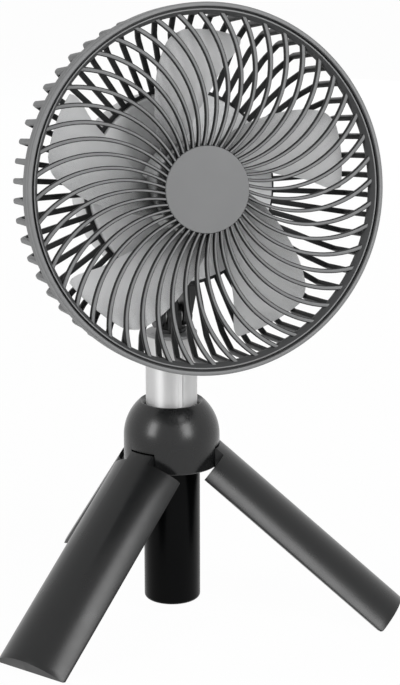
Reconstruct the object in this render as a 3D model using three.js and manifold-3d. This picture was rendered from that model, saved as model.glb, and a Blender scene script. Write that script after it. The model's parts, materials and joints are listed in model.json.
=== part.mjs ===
// Portable camping fan on a folding tripod stand.
// Millimetres, +Z up, fan facing -Y. The feet stand on z = 0.
import * as THREE from 'three';
import { mergeVertices } from 'three/addons/utils/BufferGeometryUtils.js';
import Module from 'manifold-3d';

const wasm = await Module();
wasm.setup();

// Shared clearances
const fitGap = 0.3;
const cutOverrun = 1;
const weldDistance = 0.0001;

// Facet counts
const rimFacets = 60;
const tubeFacets = 30;
const smallFacets = 14;
const screwFacets = 8;
const domeSteps = 6;

// Legs: curved shells that close around the sleeve
const legCount = 3;
const legRadius = 25.7;
const legWall = 2.2;
const legHalfAngleDeg = 59.2;
const legLength = 128.2;
const legSplayDeg = 49.3;
const legEndWall = 3;
const legCornerRadius = 1.2;
const legShoulder = 7.7;
const legArcSteps = 6;
const pinRadius = 1.2;
const pinLength = 22;
const pinOffset = 17.8;
const knuckleRadius = 2.9;
const tongueWidth = 14.4;
const tongueStart = 3.4;
const tongueRoot = 14;
const tongueBack = 2.2;
const tongueDrop = 8;
const groundCut = 0.6;

// Hub: round shell that carries the legs
const hubRadius = 24.8;
const hubPinRise = 6.7;
const hubSkirt = 14.8;
const hubRimRadius = 16.2;
const hubDishDepth = 1.9;
const hubLipHeight = 1.7;
const slotRise = 4.3;
const standTurnDeg = 3.6;

// Sleeve, collar and mast
const sleeveRadius = 14.6;
const sleeveWall = 1;
const sleeveFloor = 2;
const sleeveDrop = 81;
const sleeveFillet = 2;
const collarHeight = 2.2;
const mastRadius = 13.25;
const mastWall = 1.2;
const mastLength = 137.2;
const mastTravel = 60;
const grooveWidth = 2.4;
const grooveDepth = 0.6;
const keyWidth = 1.8;
const keyReach = 0.5;
const mastFootHeight = 3;
const plugLength = 8;
const capHeight = 1.4;
const capScrewOffset = 10.6;
const capScrewRadius = 0.9;
const capScrewLength = 5;
const capScrewTurnDeg = 10;

// Tilt joint
const knuckleBaseRadius = 7.8;
const knuckleBaseHeight = 1.8;
const barrelRadius = 6.2;
const earRadius = 6.5;
const earClearance = 0.4;
const barrelHalfWidth = 3.6;
const washerThickness = 0.6;
const washerRadius = 5.4;
const earThickness = 4.6;
const tiltPinRadius = 2;
const tiltHeadRadius = 3.6;
const tiltHeadHeight = 1.6;
const yokeClearance = 5.6;
const yokeOverhang = 1;
const yokeBase = 3.2;
const tiltRestDeg = 9.37;
const pivotReach = 15.1;
const pivotInset = 5.15;

// Front grille, measured from the plane of the ring's widest edge
const ringRadius = 90;
const beadWidth = 2.4;
const beadRise = 2;
const beadShoulder = 0.9;
const ringGroove = 0.6;
const grooveFloor = 0.3;
const ringSlopeWidth = 2.8;
const ringInnerDrop = 2.6;
const ringBack = 1.9;
const ringLipWidth = 3.2;
const spokeCount = 48;
const spokeArcRadius = 55.1;
const spokeArcOffset = 65.15;
const spokeTurnDeg = 62.06;
const spokeWidth = 1.5;
const spokeDepth = 3.2;
const spokeDrop = 1.1;
const spokeInset = 2;
const spokeSteps = 5;
const plateRadius = 21.2;
const plateThickness = 1.4;
const plateDrop = 0.8;
const plateChamfer = 0.3;
const plateSeat = 1.8;
const plateSeatMargin = 1.4;

// Rear grille
const bandInset = 0.1;
const bandThickness = 2.5;
const bandDepth = 6.2;
const ribCount = 56;
const ribWidth = 2.75;
const ribThickness = 2;
const ribInset = 1;
const ribTurnDeg = 0.67;
const ribSideDepth = 14;
const ribShoulderDepth = 33;
const ribShoulderShare = 0.032;
const ribHipDepth = 37.7;
const ribHipShare = 0.09;
const ribMidDepth = 46;
const ribMidShare = 0.295;
const ribRingWidth = 1.9;
const ribRingDepth = 2.4;
const ribRingSetback = 2;

// Motor housing behind the blades
const housingRadius = 47.4;
const housingWall = 2;
const housingFront = 41;
const backClearance = 2.9;
const coverThickness = 2.7;
const coverChamfer = 1.2;
const bossRadius = 4.1;
const bossInset = 5.9;
const bossCount = 4;
const screwShankRadius = 1.2;
const screwHeadRadius = 2.5;
const screwHeadHeight = 1.5;
const screwLength = 11;
const wireHoleRadius = 2.5;
const wireHoleOffset = 15;

// Inside the housing
const cellClearance = 3.6;
const cellInset = 12.4;
const cellTipRadius = 4;
const cellTipHeight = 0.8;
const boardSideInset = 19.4;
const boardEndInset = 27.4;
const boardThickness = 1.6;
const boardClearance = 5.055;
const switchSize = 6;
const switchHeight = 1.5;
const postRadius = 2.5;
const postInset = 4;
const buttonRadius = 6;
const buttonFlange = 1.2;
const buttonFlangeHeight = 1.3;
const buttonProud = 1;
const buttonInset = 6;
const buttonTravel = 1;
const stemRadius = 2;
const lensRadius = 1.5;
const lensSpacing = 11;
const lensLength = 3.2;
const socketWidth = 8.9;
const socketHeight = 3.2;
const socketLength = 6.8;
const socketWall = 0.35;
const socketRecess = 5;
const socketInset = 6;

// Motor, built around a bearing tube on the housing's front wall
const shaftRadius = 1.5;
const bearingRadius = 4;
const bearingHeight = 4;
const frontBearingDepth = 16.6;
const rearBearingDepth = 32;
const tubeRadius = 5.8;
const tubeFront = 16;
const flangeRadius = 12;
const flangeThickness = 1.7;
const motorScrewCircle = 9;
const motorScrewCount = 3;
const motorScrewLength = 4.4;
const motorHeadHeight = 1.2;
const motorHeadRadius = 2;
const statorRadius = 17.3;
const statorCoreRadius = 8.5;
const statorFront = 17.5;
const statorBack = 33;
const statorTeeth = 9;
const toothWidth = 3.2;
const toothTipWidth = 9.5;
const toothTipDepth = 1.6;
const magnetInner = 18;
const magnetOuter = 20;
const magnetFront = 16.4;
const magnetBack = 34;
const yokeRingOuter = 21.4;
const yokeRingFront = 15;
const yokeRingBack = 36.4;
const clipWidth = 1.8;
const clipThickness = 0.6;

// Impeller
const impellerHubRadius = 23;
const impellerHubWall = 1.3;
const impellerHubFront = 13;
const impellerFrontWall = 1.6;
const impellerHubBack = 36.9;
const hubBossRadius = 4.5;
const hubBossHeight = 1.1;
const hubEdgeChamfer = 1.5;
const bladeCount = 5;
const bladeTipGap = 9.3;
const bladeRootRadius = 22.4;
const bladeThickness = 1.3;
const bladeLeadDepth = 24;
const bladeTrailDepth = 14;
const bladeRootTwist = 5;
const bladeTurnDeg = -3;
const bladeChordSteps = 4;
// Share of the way from root to tip, with the leading and trailing edge angles there.
const bladeRadiusShares = [0, 0.25, 0.47, 0.68, 0.86, 0.955, 1];
const bladeLeadDegs = [24, 13, 6.5, 3, -0.5, -1.2, -0.5];
const bladeTrailDegs = [69, 55.5, 46, 39, 33, 29, 24];

// Values worked out from the sizes above
const rad = THREE.MathUtils.degToRad;
const splay = rad(legSplayDeg);
const legHalfAngle = rad(legHalfAngleDeg);
const legChord = legRadius * Math.cos(legHalfAngle);
const legHalfWidth = legRadius * Math.sin(legHalfAngle);
const chordToPin = legChord - pinOffset;
const pinHeight = legLength * Math.cos(splay) - chordToPin * Math.sin(splay) - groundCut;
const skirtBottom = pinHeight - hubPinRise;
const hubCentre = skirtBottom + hubSkirt;
const slotTop = pinHeight + slotRise;
const slotWidth = tongueWidth + 2 * fitGap;
const sleeveBottom = pinHeight - sleeveDrop;
const sleeveInner = sleeveRadius - sleeveWall;
const hubBore = sleeveRadius + fitGap;
const hubThroat = mastRadius + fitGap;
const hubRimHeight = hubCentre + Math.sqrt(hubRadius ** 2 - hubRimRadius ** 2);
const dishBottom = hubRimHeight - hubDishDepth;
const collarTop = dishBottom - hubLipHeight - fitGap;
const sleeveTop = collarTop - collarHeight - fitGap;
const mastInner = mastRadius - mastWall;
const mastFootBottom = sleeveBottom + sleeveFloor + fitGap;
const mastBottom = mastFootBottom + mastFootHeight + fitGap;
const mastTop = mastBottom + mastLength;
const capTop = mastTop + fitGap + capHeight;
const knuckleBaseTop = capTop + fitGap + knuckleBaseHeight;
const pivotHeight = knuckleBaseTop + earRadius + earClearance;
const tilt = rad(tiltRestDeg);
const standTurn = rad(standTurnDeg);
const earInner = barrelHalfWidth + washerThickness + 2 * fitGap;
const earOuter = earInner + earThickness;
const saddleRadius = housingRadius + fitGap;
const pivotDrop = saddleRadius + yokeBase + pivotReach;
const beadInner = ringRadius - beadWidth;
const slopeTopRadius = beadInner - ringGroove;
const ringInner = slopeTopRadius - ringSlopeWidth;
const ringLipRadius = ringRadius - ringLipWidth;
const ringUnder = spokeDrop + spokeDepth + fitGap / 2;
const bandRadius = ringRadius - bandInset;
const ribOuterRadius = bandRadius - ribInset;
const ribInnerRadius = housingRadius + fitGap + ribRingWidth / 2;
const ribRingFront = housingFront + housingWall + ribRingSetback;
const bossCircle = housingRadius - bossInset;
const cellRadius = (bossCircle * Math.SQRT1_2 - bossRadius - cellClearance) / 2;
const cellLength = 2 * (housingRadius - cellInset);
const boardWidth = 2 * (housingRadius - boardSideInset);
const boardHeight = 2 * (housingRadius - boardEndInset);
const bladeTipRadius = ringLipRadius - bladeTipGap;
const cellDepth = housingFront + housingWall + fitGap + cellRadius;
const boardDepth = cellDepth + cellRadius + boardClearance;
const housingBack = boardDepth + boardThickness + switchHeight + backClearance;
const coverFront = housingBack + fitGap;
const coverBack = coverFront + coverThickness;
const yokeBack = housingBack + yokeOverhang;
const yokeFront = ribRingFront + ribRingDepth + yokeClearance;
const pivotBack = yokeBack - pivotInset;
const buttonOffset = boardHeight / 2 - buttonInset;
const lensOffset = buttonOffset + lensSpacing;
const socketOffset = boardHeight / 2 - socketInset;

// Solids for joining and cutting

function toSolid(geometry) {
  const bare = geometry.clone();
  bare.deleteAttribute('normal');
  bare.deleteAttribute('uv');
  const welded = mergeVertices(bare, weldDistance);
  const position = welded.getAttribute('position');
  const index = welded.getIndex().array;
  const kept = [];
  let volume = 0;
  const a = new THREE.Vector3();
  const b = new THREE.Vector3();
  const c = new THREE.Vector3();
  for (let i = 0; i < index.length; i += 3) {
    const [p, q, r] = [index[i], index[i + 1], index[i + 2]];
    if (p === q || q === r || r === p) continue;
    kept.push(p, q, r);
    a.fromBufferAttribute(position, p);
    b.fromBufferAttribute(position, q);
    c.fromBufferAttribute(position, r);
    volume += a.dot(b.cross(c));
  }
  if (volume < 0) kept.reverse();
  return new wasm.Manifold(new wasm.Mesh({
    numProp: 3,
    vertProperties: new Float32Array(position.array),
    triVerts: new Uint32Array(kept),
  }));
}

function toGeometry(solid) {
  const mesh = solid.getMesh();
  const geometry = new THREE.BufferGeometry();
  geometry.setAttribute('position', new THREE.BufferAttribute(mesh.vertProperties, 3));
  geometry.setIndex(new THREE.BufferAttribute(mesh.triVerts, 1));
  geometry.computeVertexNormals();
  return geometry;
}

function joined(solids) {
  return solids.reduce((all, next) => all.add(next));
}

// Shapes, all with their axis along +Z

// A turned solid: its half outline as [radius, height] points, closed on itself.
function turned(outline, facets) {
  const points = outline.map(([radius, height]) => new THREE.Vector2(radius, height));
  points.push(points[0].clone());
  const geometry = new THREE.LatheGeometry(points, facets);
  return toSolid(geometry.rotateX(Math.PI / 2));
}

function disc(radius, bottom, top, facets) {
  return turned([[0, bottom], [radius, bottom], [radius, top], [0, top]], facets);
}

function ring(inner, outer, bottom, top, facets) {
  return turned([[inner, bottom], [outer, bottom], [outer, top], [inner, top]], facets);
}

function prism(outline, bottom, top, curveSegments = smallFacets) {
  const shape = outline instanceof THREE.Shape
    ? outline
    : new THREE.Shape(outline.map(([x, y]) => new THREE.Vector2(x, y)));
  const geometry = new THREE.ExtrudeGeometry(shape, {
    depth: top - bottom, bevelEnabled: false, curveSegments,
  });
  return geometry.translate(0, 0, bottom);
}

function box(width, depth, bottom, top) {
  const geometry = new THREE.BoxGeometry(width, depth, top - bottom);
  return geometry.translate(0, 0, (top + bottom) / 2);
}

function moved(solid, x, y, z) {
  const geometry = toGeometry(solid);
  return toSolid(geometry.translate(x, y, z));
}

function spun(solid, angle) {
  const geometry = toGeometry(solid);
  return toSolid(geometry.rotateZ(angle));
}

// Axis along +Z laid over to +X.
function laidAlongX(solid) {
  const geometry = toGeometry(solid);
  return toSolid(geometry.rotateY(Math.PI / 2));
}

// Places copies of what a function makes at even angles about the axis.
function aroundAxis(count, make) {
  return Array.from({ length: count }, (_, i) => make(2 * Math.PI * i / count));
}

function polar(radius, angle) {
  return [radius * Math.cos(angle), radius * Math.sin(angle)];
}

// Materials

function material(color, roughness, metalness) {
  return new THREE.MeshStandardMaterial({ color, roughness, metalness });
}

const frameGrey = material(0x6a6b6d, 0.45, 0);
const bladeGrey = material(0xa9aaac, 0.55, 0);
const plateGrey = material(0x88898b, 0.5, 0);
const standCharcoal = material(0x3c3d3f, 0.42, 0);
const sleeveBlack = material(0x101113, 0.25, 0);
const jointBlack = material(0x1b1c1e, 0.5, 0);
const satinAluminium = material(0xc9cacb, 0.35, 0.9);
const steel = material(0x8d9093, 0.35, 1);
const brass = material(0xb79a58, 0.35, 1);
const magnetDark = material(0x35363a, 0.6, 0.2);
const boardGreen = material(0x1d5a3a, 0.5, 0);
const cellBlue = material(0x3a6ea8, 0.5, 0);
const lensClear = material(0xd8e4ea, 0.2, 0);

function part(name, solid, surface) {
  const mesh = new THREE.Mesh(toGeometry(solid), surface.clone());
  mesh.name = name;
  return mesh;
}

// Front grille: a beaded ring, curved fins and the seat of the centre plate

function frontRing() {
  return turned([
    [ringInner, -ringUnder],
    [ringInner, -ringInnerDrop],
    [slopeTopRadius, beadShoulder],
    [slopeTopRadius, grooveFloor],
    [beadInner, grooveFloor],
    [beadInner, (beadRise + beadShoulder) / 2],
    [ringRadius - beadWidth / 2, beadRise],
    [ringRadius, beadShoulder],
    [ringRadius, -ringBack],
    [ringLipRadius, -ringBack],
    [ringLipRadius, -ringUnder],
  ], rimFacets);
}

// Angle at the arc's centre between the line to the fan's axis and the point at a radius.
function spokeAngle(radius) {
  const cosine = (spokeArcOffset ** 2 + spokeArcRadius ** 2 - radius ** 2)
    / (2 * spokeArcOffset * spokeArcRadius);
  return Math.acos(cosine);
}

function spoke(turn) {
  const [x, y] = polar(spokeArcOffset, rad(spokeTurnDeg) + turn);
  const towardAxis = rad(spokeTurnDeg) + turn + Math.PI;
  const start = towardAxis + spokeAngle(plateRadius + fitGap + spokeWidth / 2);
  const end = towardAxis + spokeAngle(ringInner + spokeInset);
  const edge = (radius) => Array.from({ length: spokeSteps + 1 }, (_, i) => {
    const [dx, dy] = polar(radius, THREE.MathUtils.lerp(start, end, i / spokeSteps));
    return [x + dx, y + dy];
  });
  const outline = [
    ...edge(spokeArcRadius + spokeWidth / 2),
    ...edge(spokeArcRadius - spokeWidth / 2).reverse(),
  ];
  return toSolid(prism(outline, -spokeDrop - spokeDepth, -spokeDrop));
}

function frontGrille() {
  const seatTop = -plateDrop - plateThickness - fitGap;
  const seat = disc(plateRadius + plateSeatMargin, seatTop - plateSeat, seatTop, spokeCount);
  const solid = joined([frontRing(), seat, ...aroundAxis(spokeCount, spoke)]);
  return part('front_grille', solid, frameGrey);
}

function centrePlate() {
  const back = -plateDrop - plateThickness;
  const solid = turned([
    [0, back],
    [plateRadius, back],
    [plateRadius, -plateDrop - plateChamfer],
    [plateRadius - plateChamfer, -plateDrop],
    [0, -plateDrop],
  ], spokeCount);
  return part('centre_plate', solid, plateGrey);
}

// Rear grille: a band behind the ring and ribs that run back and in to the housing

// Radius at a share of the way from the band in to the housing.
function ribRadius(share) {
  return THREE.MathUtils.lerp(ribOuterRadius, ribInnerRadius, share);
}

function ribOutline() {
  const innerDepth = ribRingFront + (ribRingDepth + ribThickness) / 2;
  const bandTop = ringBack + fitGap + bandDepth / 2;
  const outer = [
    [ribOuterRadius, -bandTop],
    [ribOuterRadius, -ribSideDepth],
    [ribRadius(ribShoulderShare), -ribShoulderDepth],
    [ribRadius(ribHipShare), -ribHipDepth],
    [ribRadius(ribMidShare), -ribMidDepth],
    [ribInnerRadius, -innerDepth],
  ];
  const inner = [
    [ribInnerRadius, -innerDepth + ribThickness],
    [ribRadius(ribMidShare) - ribThickness / 4, -ribMidDepth + ribThickness],
    [ribRadius(ribHipShare) - ribThickness * 0.8, -ribHipDepth + ribThickness * 0.7],
    [ribRadius(ribShoulderShare) - ribThickness, -ribShoulderDepth + ribThickness / 4],
    [ribOuterRadius - ribThickness, -ribSideDepth],
    [ribOuterRadius - ribThickness, -bandTop],
  ];
  return [...outer, ...inner];
}

function rib(turn) {
  const blank = prism(ribOutline(), -ribWidth / 2, ribWidth / 2);
  blank.rotateX(Math.PI / 2);
  blank.rotateZ(turn + rad(ribTurnDeg));
  return toSolid(blank);
}

function rearGrille() {
  const front = -ringBack - fitGap;
  const band = ring(bandRadius - bandThickness, bandRadius, front - bandDepth, front, rimFacets);
  const inner = ring(
    housingRadius + fitGap,
    housingRadius + fitGap + ribRingWidth,
    -ribRingFront - ribRingDepth,
    -ribRingFront,
    tubeFacets,
  );
  const solid = joined([band, inner, ...aroundAxis(ribCount, rib)]);
  return part('rear_grille', solid, frameGrey);
}

// Housing, cover and what they hold

function bossPlace(angle) {
  return polar(bossCircle, angle + Math.PI / bossCount);
}

function motorScrewPlace(angle) {
  return polar(motorScrewCircle, angle + Math.PI / 2);
}

function rearHousing() {
  const shell = turned([
    [0, -housingFront],
    [housingRadius, -housingFront],
    [housingRadius, -housingBack],
    [housingRadius - housingWall, -housingBack],
    [housingRadius - housingWall, -housingFront - housingWall],
    [0, -housingFront - housingWall],
  ], tubeFacets);
  const floor = -housingFront - housingWall / 2;
  const post = disc(bossRadius, -housingBack, floor, screwFacets);
  const posts = aroundAxis(bossCount, (angle) => moved(post, ...bossPlace(angle), 0));
  const bore = disc(screwShankRadius + fitGap, -housingBack - cutOverrun,
    -coverBack + screwLength + 2 * screwHeadHeight, screwFacets);
  const bores = aroundAxis(bossCount, (angle) => moved(bore, ...bossPlace(angle), 0));
  const through = disc(screwShankRadius + fitGap, -housingFront - housingWall - cutOverrun,
    -housingFront + cutOverrun, screwFacets);
  const motorHoles = aroundAxis(motorScrewCount,
    (angle) => moved(through, ...motorScrewPlace(angle), 0));
  const wire = disc(wireHoleRadius, -housingFront - housingWall - cutOverrun,
    -housingFront + cutOverrun, screwFacets);
  const yokeHoles = yokeScrewDepths().map((depth) => yokeBore(depth));
  const solid = joined([shell, ...posts])
    .subtract(joined([...bores, ...motorHoles, moved(wire, 0, wireHoleOffset, 0), ...yokeHoles]));
  return part('rear_housing', solid, bladeGrey);
}

function boardPosts() {
  const height = boardDepth + boardThickness + fitGap;
  const post = disc(postRadius, -coverFront - coverThickness / 2, -height, screwFacets);
  const x = boardWidth / 2 - postInset;
  const y = boardHeight / 2 - postInset;
  return [[x, y], [-x, y], [-x, -y], [x, -y]].map(([px, py]) => moved(post, px, py, 0));
}

function rearCover() {
  const plate = turned([
    [0, -coverFront],
    [housingRadius, -coverFront],
    [housingRadius, -coverBack + coverChamfer],
    [housingRadius - coverChamfer, -coverBack],
    [0, -coverBack],
  ], tubeFacets);
  const below = -coverBack - cutOverrun;
  const above = -coverFront + cutOverrun;
  const shank = disc(screwShankRadius + fitGap, below, above, screwFacets);
  const recess = disc(screwHeadRadius + fitGap, below, -coverBack + screwHeadHeight + fitGap,
    screwFacets);
  const holes = aroundAxis(bossCount,
    (angle) => moved(shank.add(recess), ...bossPlace(angle), 0));
  const buttonHole = disc(buttonRadius + fitGap, below, above, smallFacets);
  const lensHole = disc(lensRadius + fitGap, below, above, screwFacets);
  const socketHole = toSolid(box(socketWidth + 2 * fitGap, socketHeight + 2 * fitGap, below, above));
  const cuts = joined([
    ...holes,
    moved(buttonHole, 0, buttonOffset, 0),
    moved(lensHole, 0, lensOffset, 0),
    moved(socketHole, 0, -socketOffset, 0),
  ]);
  const solid = joined([plate, ...boardPosts()]).subtract(cuts);
  return part('rear_cover', solid, bladeGrey);
}

// A screw whose head points along -Z and whose shank runs up from it.
function screw(name, headBottom, headHeight, headRadius, length) {
  const solid = turned([
    [0, headBottom],
    [headRadius, headBottom],
    [headRadius, headBottom + headHeight],
    [screwShankRadius, headBottom + headHeight],
    [screwShankRadius, headBottom + headHeight + length],
    [0, headBottom + headHeight + length],
  ], screwFacets);
  return part(name, solid, steel);
}

function coverScrews() {
  return aroundAxis(bossCount, (angle) => bossPlace(angle)).map(([x, y], i) => {
    const mesh = screw(`cover_screw_${i + 1}`, -coverBack, screwHeadHeight, screwHeadRadius,
      screwLength);
    mesh.position.set(x, y, 0);
    return mesh;
  });
}

function batteryCell(name, side) {
  const half = cellLength / 2;
  const body = turned([
    [0, -half],
    [cellRadius, -half],
    [cellRadius, half - cellTipHeight],
    [cellTipRadius, half - cellTipHeight],
    [cellTipRadius, half],
    [0, half],
  ], smallFacets);
  const mesh = part(name, laidAlongX(body), cellBlue);
  mesh.position.set(0, side * (cellRadius + fitGap / 2), -cellDepth);
  return mesh;
}

function controlBoard() {
  const back = -boardDepth - boardThickness;
  const board = toSolid(box(boardWidth, boardHeight, back, -boardDepth));
  const tactSwitch = toSolid(box(switchSize, switchSize, back - switchHeight, back + fitGap));
  return part('control_board', board.add(moved(tactSwitch, 0, buttonOffset, 0)), boardGreen);
}

function powerButton() {
  const top = -coverBack - buttonProud;
  const flangeTop = -coverFront + fitGap;
  const switchTop = boardDepth + boardThickness + switchHeight;
  const solid = turned([
    [0, top],
    [buttonRadius - plateChamfer, top],
    [buttonRadius, top + plateChamfer],
    [buttonRadius, flangeTop],
    [buttonRadius + buttonFlange, flangeTop],
    [buttonRadius + buttonFlange, flangeTop + buttonFlangeHeight],
    [stemRadius, flangeTop + buttonFlangeHeight],
    [stemRadius, -switchTop - fitGap - buttonTravel],
    [0, -switchTop - fitGap - buttonTravel],
  ], smallFacets);
  const mesh = part('power_button', solid, jointBlack);
  mesh.position.set(0, buttonOffset, 0);
  return mesh;
}

function indicatorLens() {
  const mesh = part('indicator_lens',
    disc(lensRadius, -coverBack, -coverBack + lensLength, screwFacets), lensClear);
  mesh.position.set(0, lensOffset, 0);
  return mesh;
}

function chargeSocket() {
  const front = -boardDepth - boardThickness - fitGap;
  const back = front - socketLength;
  const block = toSolid(box(socketWidth, socketHeight, back, front));
  const recess = toSolid(box(socketWidth - 2 * socketWall, socketHeight - 2 * socketWall,
    back - cutOverrun, back + socketRecess));
  const mesh = part('charge_socket', block.subtract(recess), steel);
  mesh.position.set(0, -socketOffset, 0);
  return mesh;
}

// Motor

function bearingTube() {
  const back = -housingFront + fitGap;
  const tube = turned([
    [bearingRadius + fitGap, back],
    [flangeRadius, back],
    [flangeRadius, back + flangeThickness],
    [tubeRadius, back + flangeThickness],
    [tubeRadius, -tubeFront],
    [bearingRadius + fitGap, -tubeFront],
  ], smallFacets);
  const hole = disc(screwShankRadius + fitGap, back - cutOverrun,
    back + flangeThickness + cutOverrun, screwFacets);
  const holes = aroundAxis(motorScrewCount,
    (angle) => moved(hole, ...motorScrewPlace(angle), 0));
  return part('bearing_tube', tube.subtract(joined(holes)), brass);
}

function motorScrews() {
  const flangeTop = -housingFront + fitGap + flangeThickness;
  return aroundAxis(motorScrewCount, (angle) => motorScrewPlace(angle)).map(([x, y], i) => {
    const mesh = screw(`motor_screw_${i + 1}`, 0, motorHeadHeight, motorHeadRadius,
      motorScrewLength);
    mesh.rotation.x = Math.PI;
    mesh.position.set(x, y, flangeTop + fitGap + motorHeadHeight);
    return mesh;
  });
}

function bearing(name, depth) {
  const solid = ring(shaftRadius + fitGap, bearingRadius, -depth - bearingHeight, -depth,
    smallFacets);
  return part(name, solid, steel);
}

function motorStator() {
  const core = disc(statorCoreRadius, -statorBack, -statorFront, smallFacets);
  const arm = toSolid(box(statorRadius, toothWidth, -statorBack, -statorFront)
    .translate(statorRadius / 2, 0, 0));
  const tip = toSolid(box(toothTipDepth, toothTipWidth, -statorBack, -statorFront)
    .translate(statorRadius - toothTipDepth / 2, 0, 0));
  const round = disc(statorRadius, -statorBack, -statorFront, tubeFacets);
  const bore = disc(tubeRadius + fitGap, -statorBack - cutOverrun, -statorFront + cutOverrun,
    smallFacets);
  const teeth = aroundAxis(statorTeeth, (angle) => spun(arm.add(tip), angle));
  return part('motor_stator', joined([core, ...teeth]).intersect(round).subtract(bore), brass);
}

function magnetRing() {
  return part('magnet_ring', ring(magnetInner, magnetOuter, -magnetBack, -magnetFront, tubeFacets),
    magnetDark);
}

function rotorRing() {
  const inner = magnetOuter + fitGap;
  return part('rotor_ring', ring(inner, yokeRingOuter, -yokeRingBack, -yokeRingFront, tubeFacets),
    steel);
}

function motorShaft() {
  const front = impellerHubFront + impellerFrontWall / 2;
  const back = rearBearingDepth + bearingHeight + 2 * fitGap + clipThickness + fitGap;
  return part('motor_shaft', disc(shaftRadius, -back, -front, smallFacets), steel);
}

function shaftClip() {
  const front = rearBearingDepth + bearingHeight + fitGap;
  const inner = shaftRadius + fitGap;
  return part('shaft_clip', ring(inner, inner + clipWidth, -front - clipThickness, -front,
    smallFacets), steel);
}

// Impeller: a cup over the motor with swept, twisted blades

function bladeGeometry(turn) {
  const rows = bladeRadiusShares.length;
  const columns = bladeChordSteps + 1;
  const positions = [];
  for (const side of [1, -1]) {
    for (let row = 0; row < rows; row += 1) {
      const share = bladeRadiusShares[row];
      const radius = bladeRootRadius + share * (bladeTipRadius - bladeRootRadius);
      const twist = bladeRootTwist * (1 - share);
      for (let column = 0; column < columns; column += 1) {
        const along = column / bladeChordSteps;
        const degrees = THREE.MathUtils.lerp(bladeLeadDegs[row], bladeTrailDegs[row], along);
        const depth = THREE.MathUtils.lerp(bladeLeadDepth + twist, bladeTrailDepth, along);
        const [x, y] = polar(radius, turn + rad(degrees + bladeTurnDeg));
        positions.push(x, y, -depth + side * bladeThickness / 2);
      }
    }
  }
  const layer = rows * columns;
  const at = (side, row, column) => side * layer + row * columns + column;
  const faces = [];
  const quad = (a, b, c, d) => faces.push(a, b, c, a, c, d);
  for (let row = 0; row < rows - 1; row += 1) {
    for (let column = 0; column < columns - 1; column += 1) {
      quad(at(0, row, column), at(0, row + 1, column), at(0, row + 1, column + 1),
        at(0, row, column + 1));
      quad(at(1, row, column), at(1, row, column + 1), at(1, row + 1, column + 1),
        at(1, row + 1, column));
    }
    quad(at(0, row, 0), at(1, row, 0), at(1, row + 1, 0), at(0, row + 1, 0));
    quad(at(0, row, columns - 1), at(0, row + 1, columns - 1), at(1, row + 1, columns - 1),
      at(1, row, columns - 1));
  }
  for (let column = 0; column < columns - 1; column += 1) {
    quad(at(0, 0, column), at(0, 0, column + 1), at(1, 0, column + 1), at(1, 0, column));
    quad(at(0, rows - 1, column), at(1, rows - 1, column), at(1, rows - 1, column + 1),
      at(0, rows - 1, column + 1));
  }
  const geometry = new THREE.BufferGeometry();
  geometry.setAttribute('position', new THREE.Float32BufferAttribute(positions, 3));
  geometry.setIndex(faces);
  return geometry;
}

function impeller() {
  const wallInner = impellerHubRadius - impellerHubWall;
  const frontInside = -impellerHubFront - impellerFrontWall;
  const shaftSeat = shaftRadius + fitGap;
  const shaftEnd = -impellerHubFront - impellerFrontWall / 2 + fitGap;
  const cup = turned([
    [0, -impellerHubFront],
    [impellerHubRadius - hubEdgeChamfer, -impellerHubFront],
    [impellerHubRadius, -impellerHubFront - hubEdgeChamfer],
    [impellerHubRadius, -impellerHubBack],
    [wallInner, -impellerHubBack],
    [wallInner, frontInside],
    [hubBossRadius, frontInside],
    [hubBossRadius, frontInside - hubBossHeight],
    [shaftSeat, frontInside - hubBossHeight],
    [shaftSeat, shaftEnd],
    [0, shaftEnd],
  ], tubeFacets);
  const blades = aroundAxis(bladeCount, (turn) => toSolid(bladeGeometry(turn)));
  return part('impeller', joined([cup, ...blades]), bladeGrey);
}

// Yoke under the housing, with the tilt pin and its washers

function yokeScrewDepths() {
  const step = (yokeBack - yokeFront) / 4;
  return [yokeFront + step, yokeBack - step];
}

// A hole down through the housing wall and the yoke's base.
function yokeBore(depth) {
  const drill = disc(screwShankRadius + fitGap, 0, screwLength + cutOverrun, screwFacets);
  const geometry = toGeometry(drill).rotateX(Math.PI / 2);
  geometry.translate(0, -housingRadius + housingWall + cutOverrun, -depth);
  return toSolid(geometry);
}

function yokeScrews() {
  return yokeScrewDepths().map((depth, i) => {
    const mesh = screw(`yoke_screw_${i + 1}`, 0, screwHeadHeight, screwHeadRadius,
      housingWall + yokeBase);
    mesh.rotation.x = Math.PI / 2;
    mesh.position.set(0, -housingRadius + housingWall + 2 * fitGap + screwHeadHeight, -depth);
    return mesh;
  });
}

function ear(side) {
  const top = -saddleRadius - yokeBase / 2;
  const plate = prism([
    [-yokeFront, top],
    [-yokeBack, top],
    [-pivotBack - earRadius, -pivotDrop],
    [-pivotBack + earRadius, -pivotDrop],
  ], 0, earThickness);
  const round = disc(earRadius, 0, earThickness, smallFacets);
  const solid = toSolid(plate).add(moved(round, -pivotBack, -pivotDrop, 0));
  const hole = disc(tiltPinRadius + fitGap, -cutOverrun, earThickness + cutOverrun, smallFacets);
  const pierced = solid.subtract(moved(hole, -pivotBack, -pivotDrop, 0));
  const geometry = toGeometry(pierced).rotateY(-Math.PI / 2);
  const inner = side > 0 ? earInner + earThickness : -earInner;
  return toSolid(geometry.translate(inner, 0, 0));
}

function yoke() {
  const height = 2 * yokeBase;
  const base = toSolid(box(2 * earOuter, height, -yokeBack, -yokeFront)
    .translate(0, -saddleRadius - yokeBase + height / 2, 0));
  const saddle = disc(saddleRadius, -yokeBack - cutOverrun, -yokeFront + cutOverrun, tubeFacets);
  const bores = yokeScrewDepths().map((depth) => yokeBore(depth));
  const solid = joined([base, ear(1), ear(-1)]).subtract(joined([saddle, ...bores]));
  return part('tilt_yoke', solid, jointBlack);
}

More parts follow.
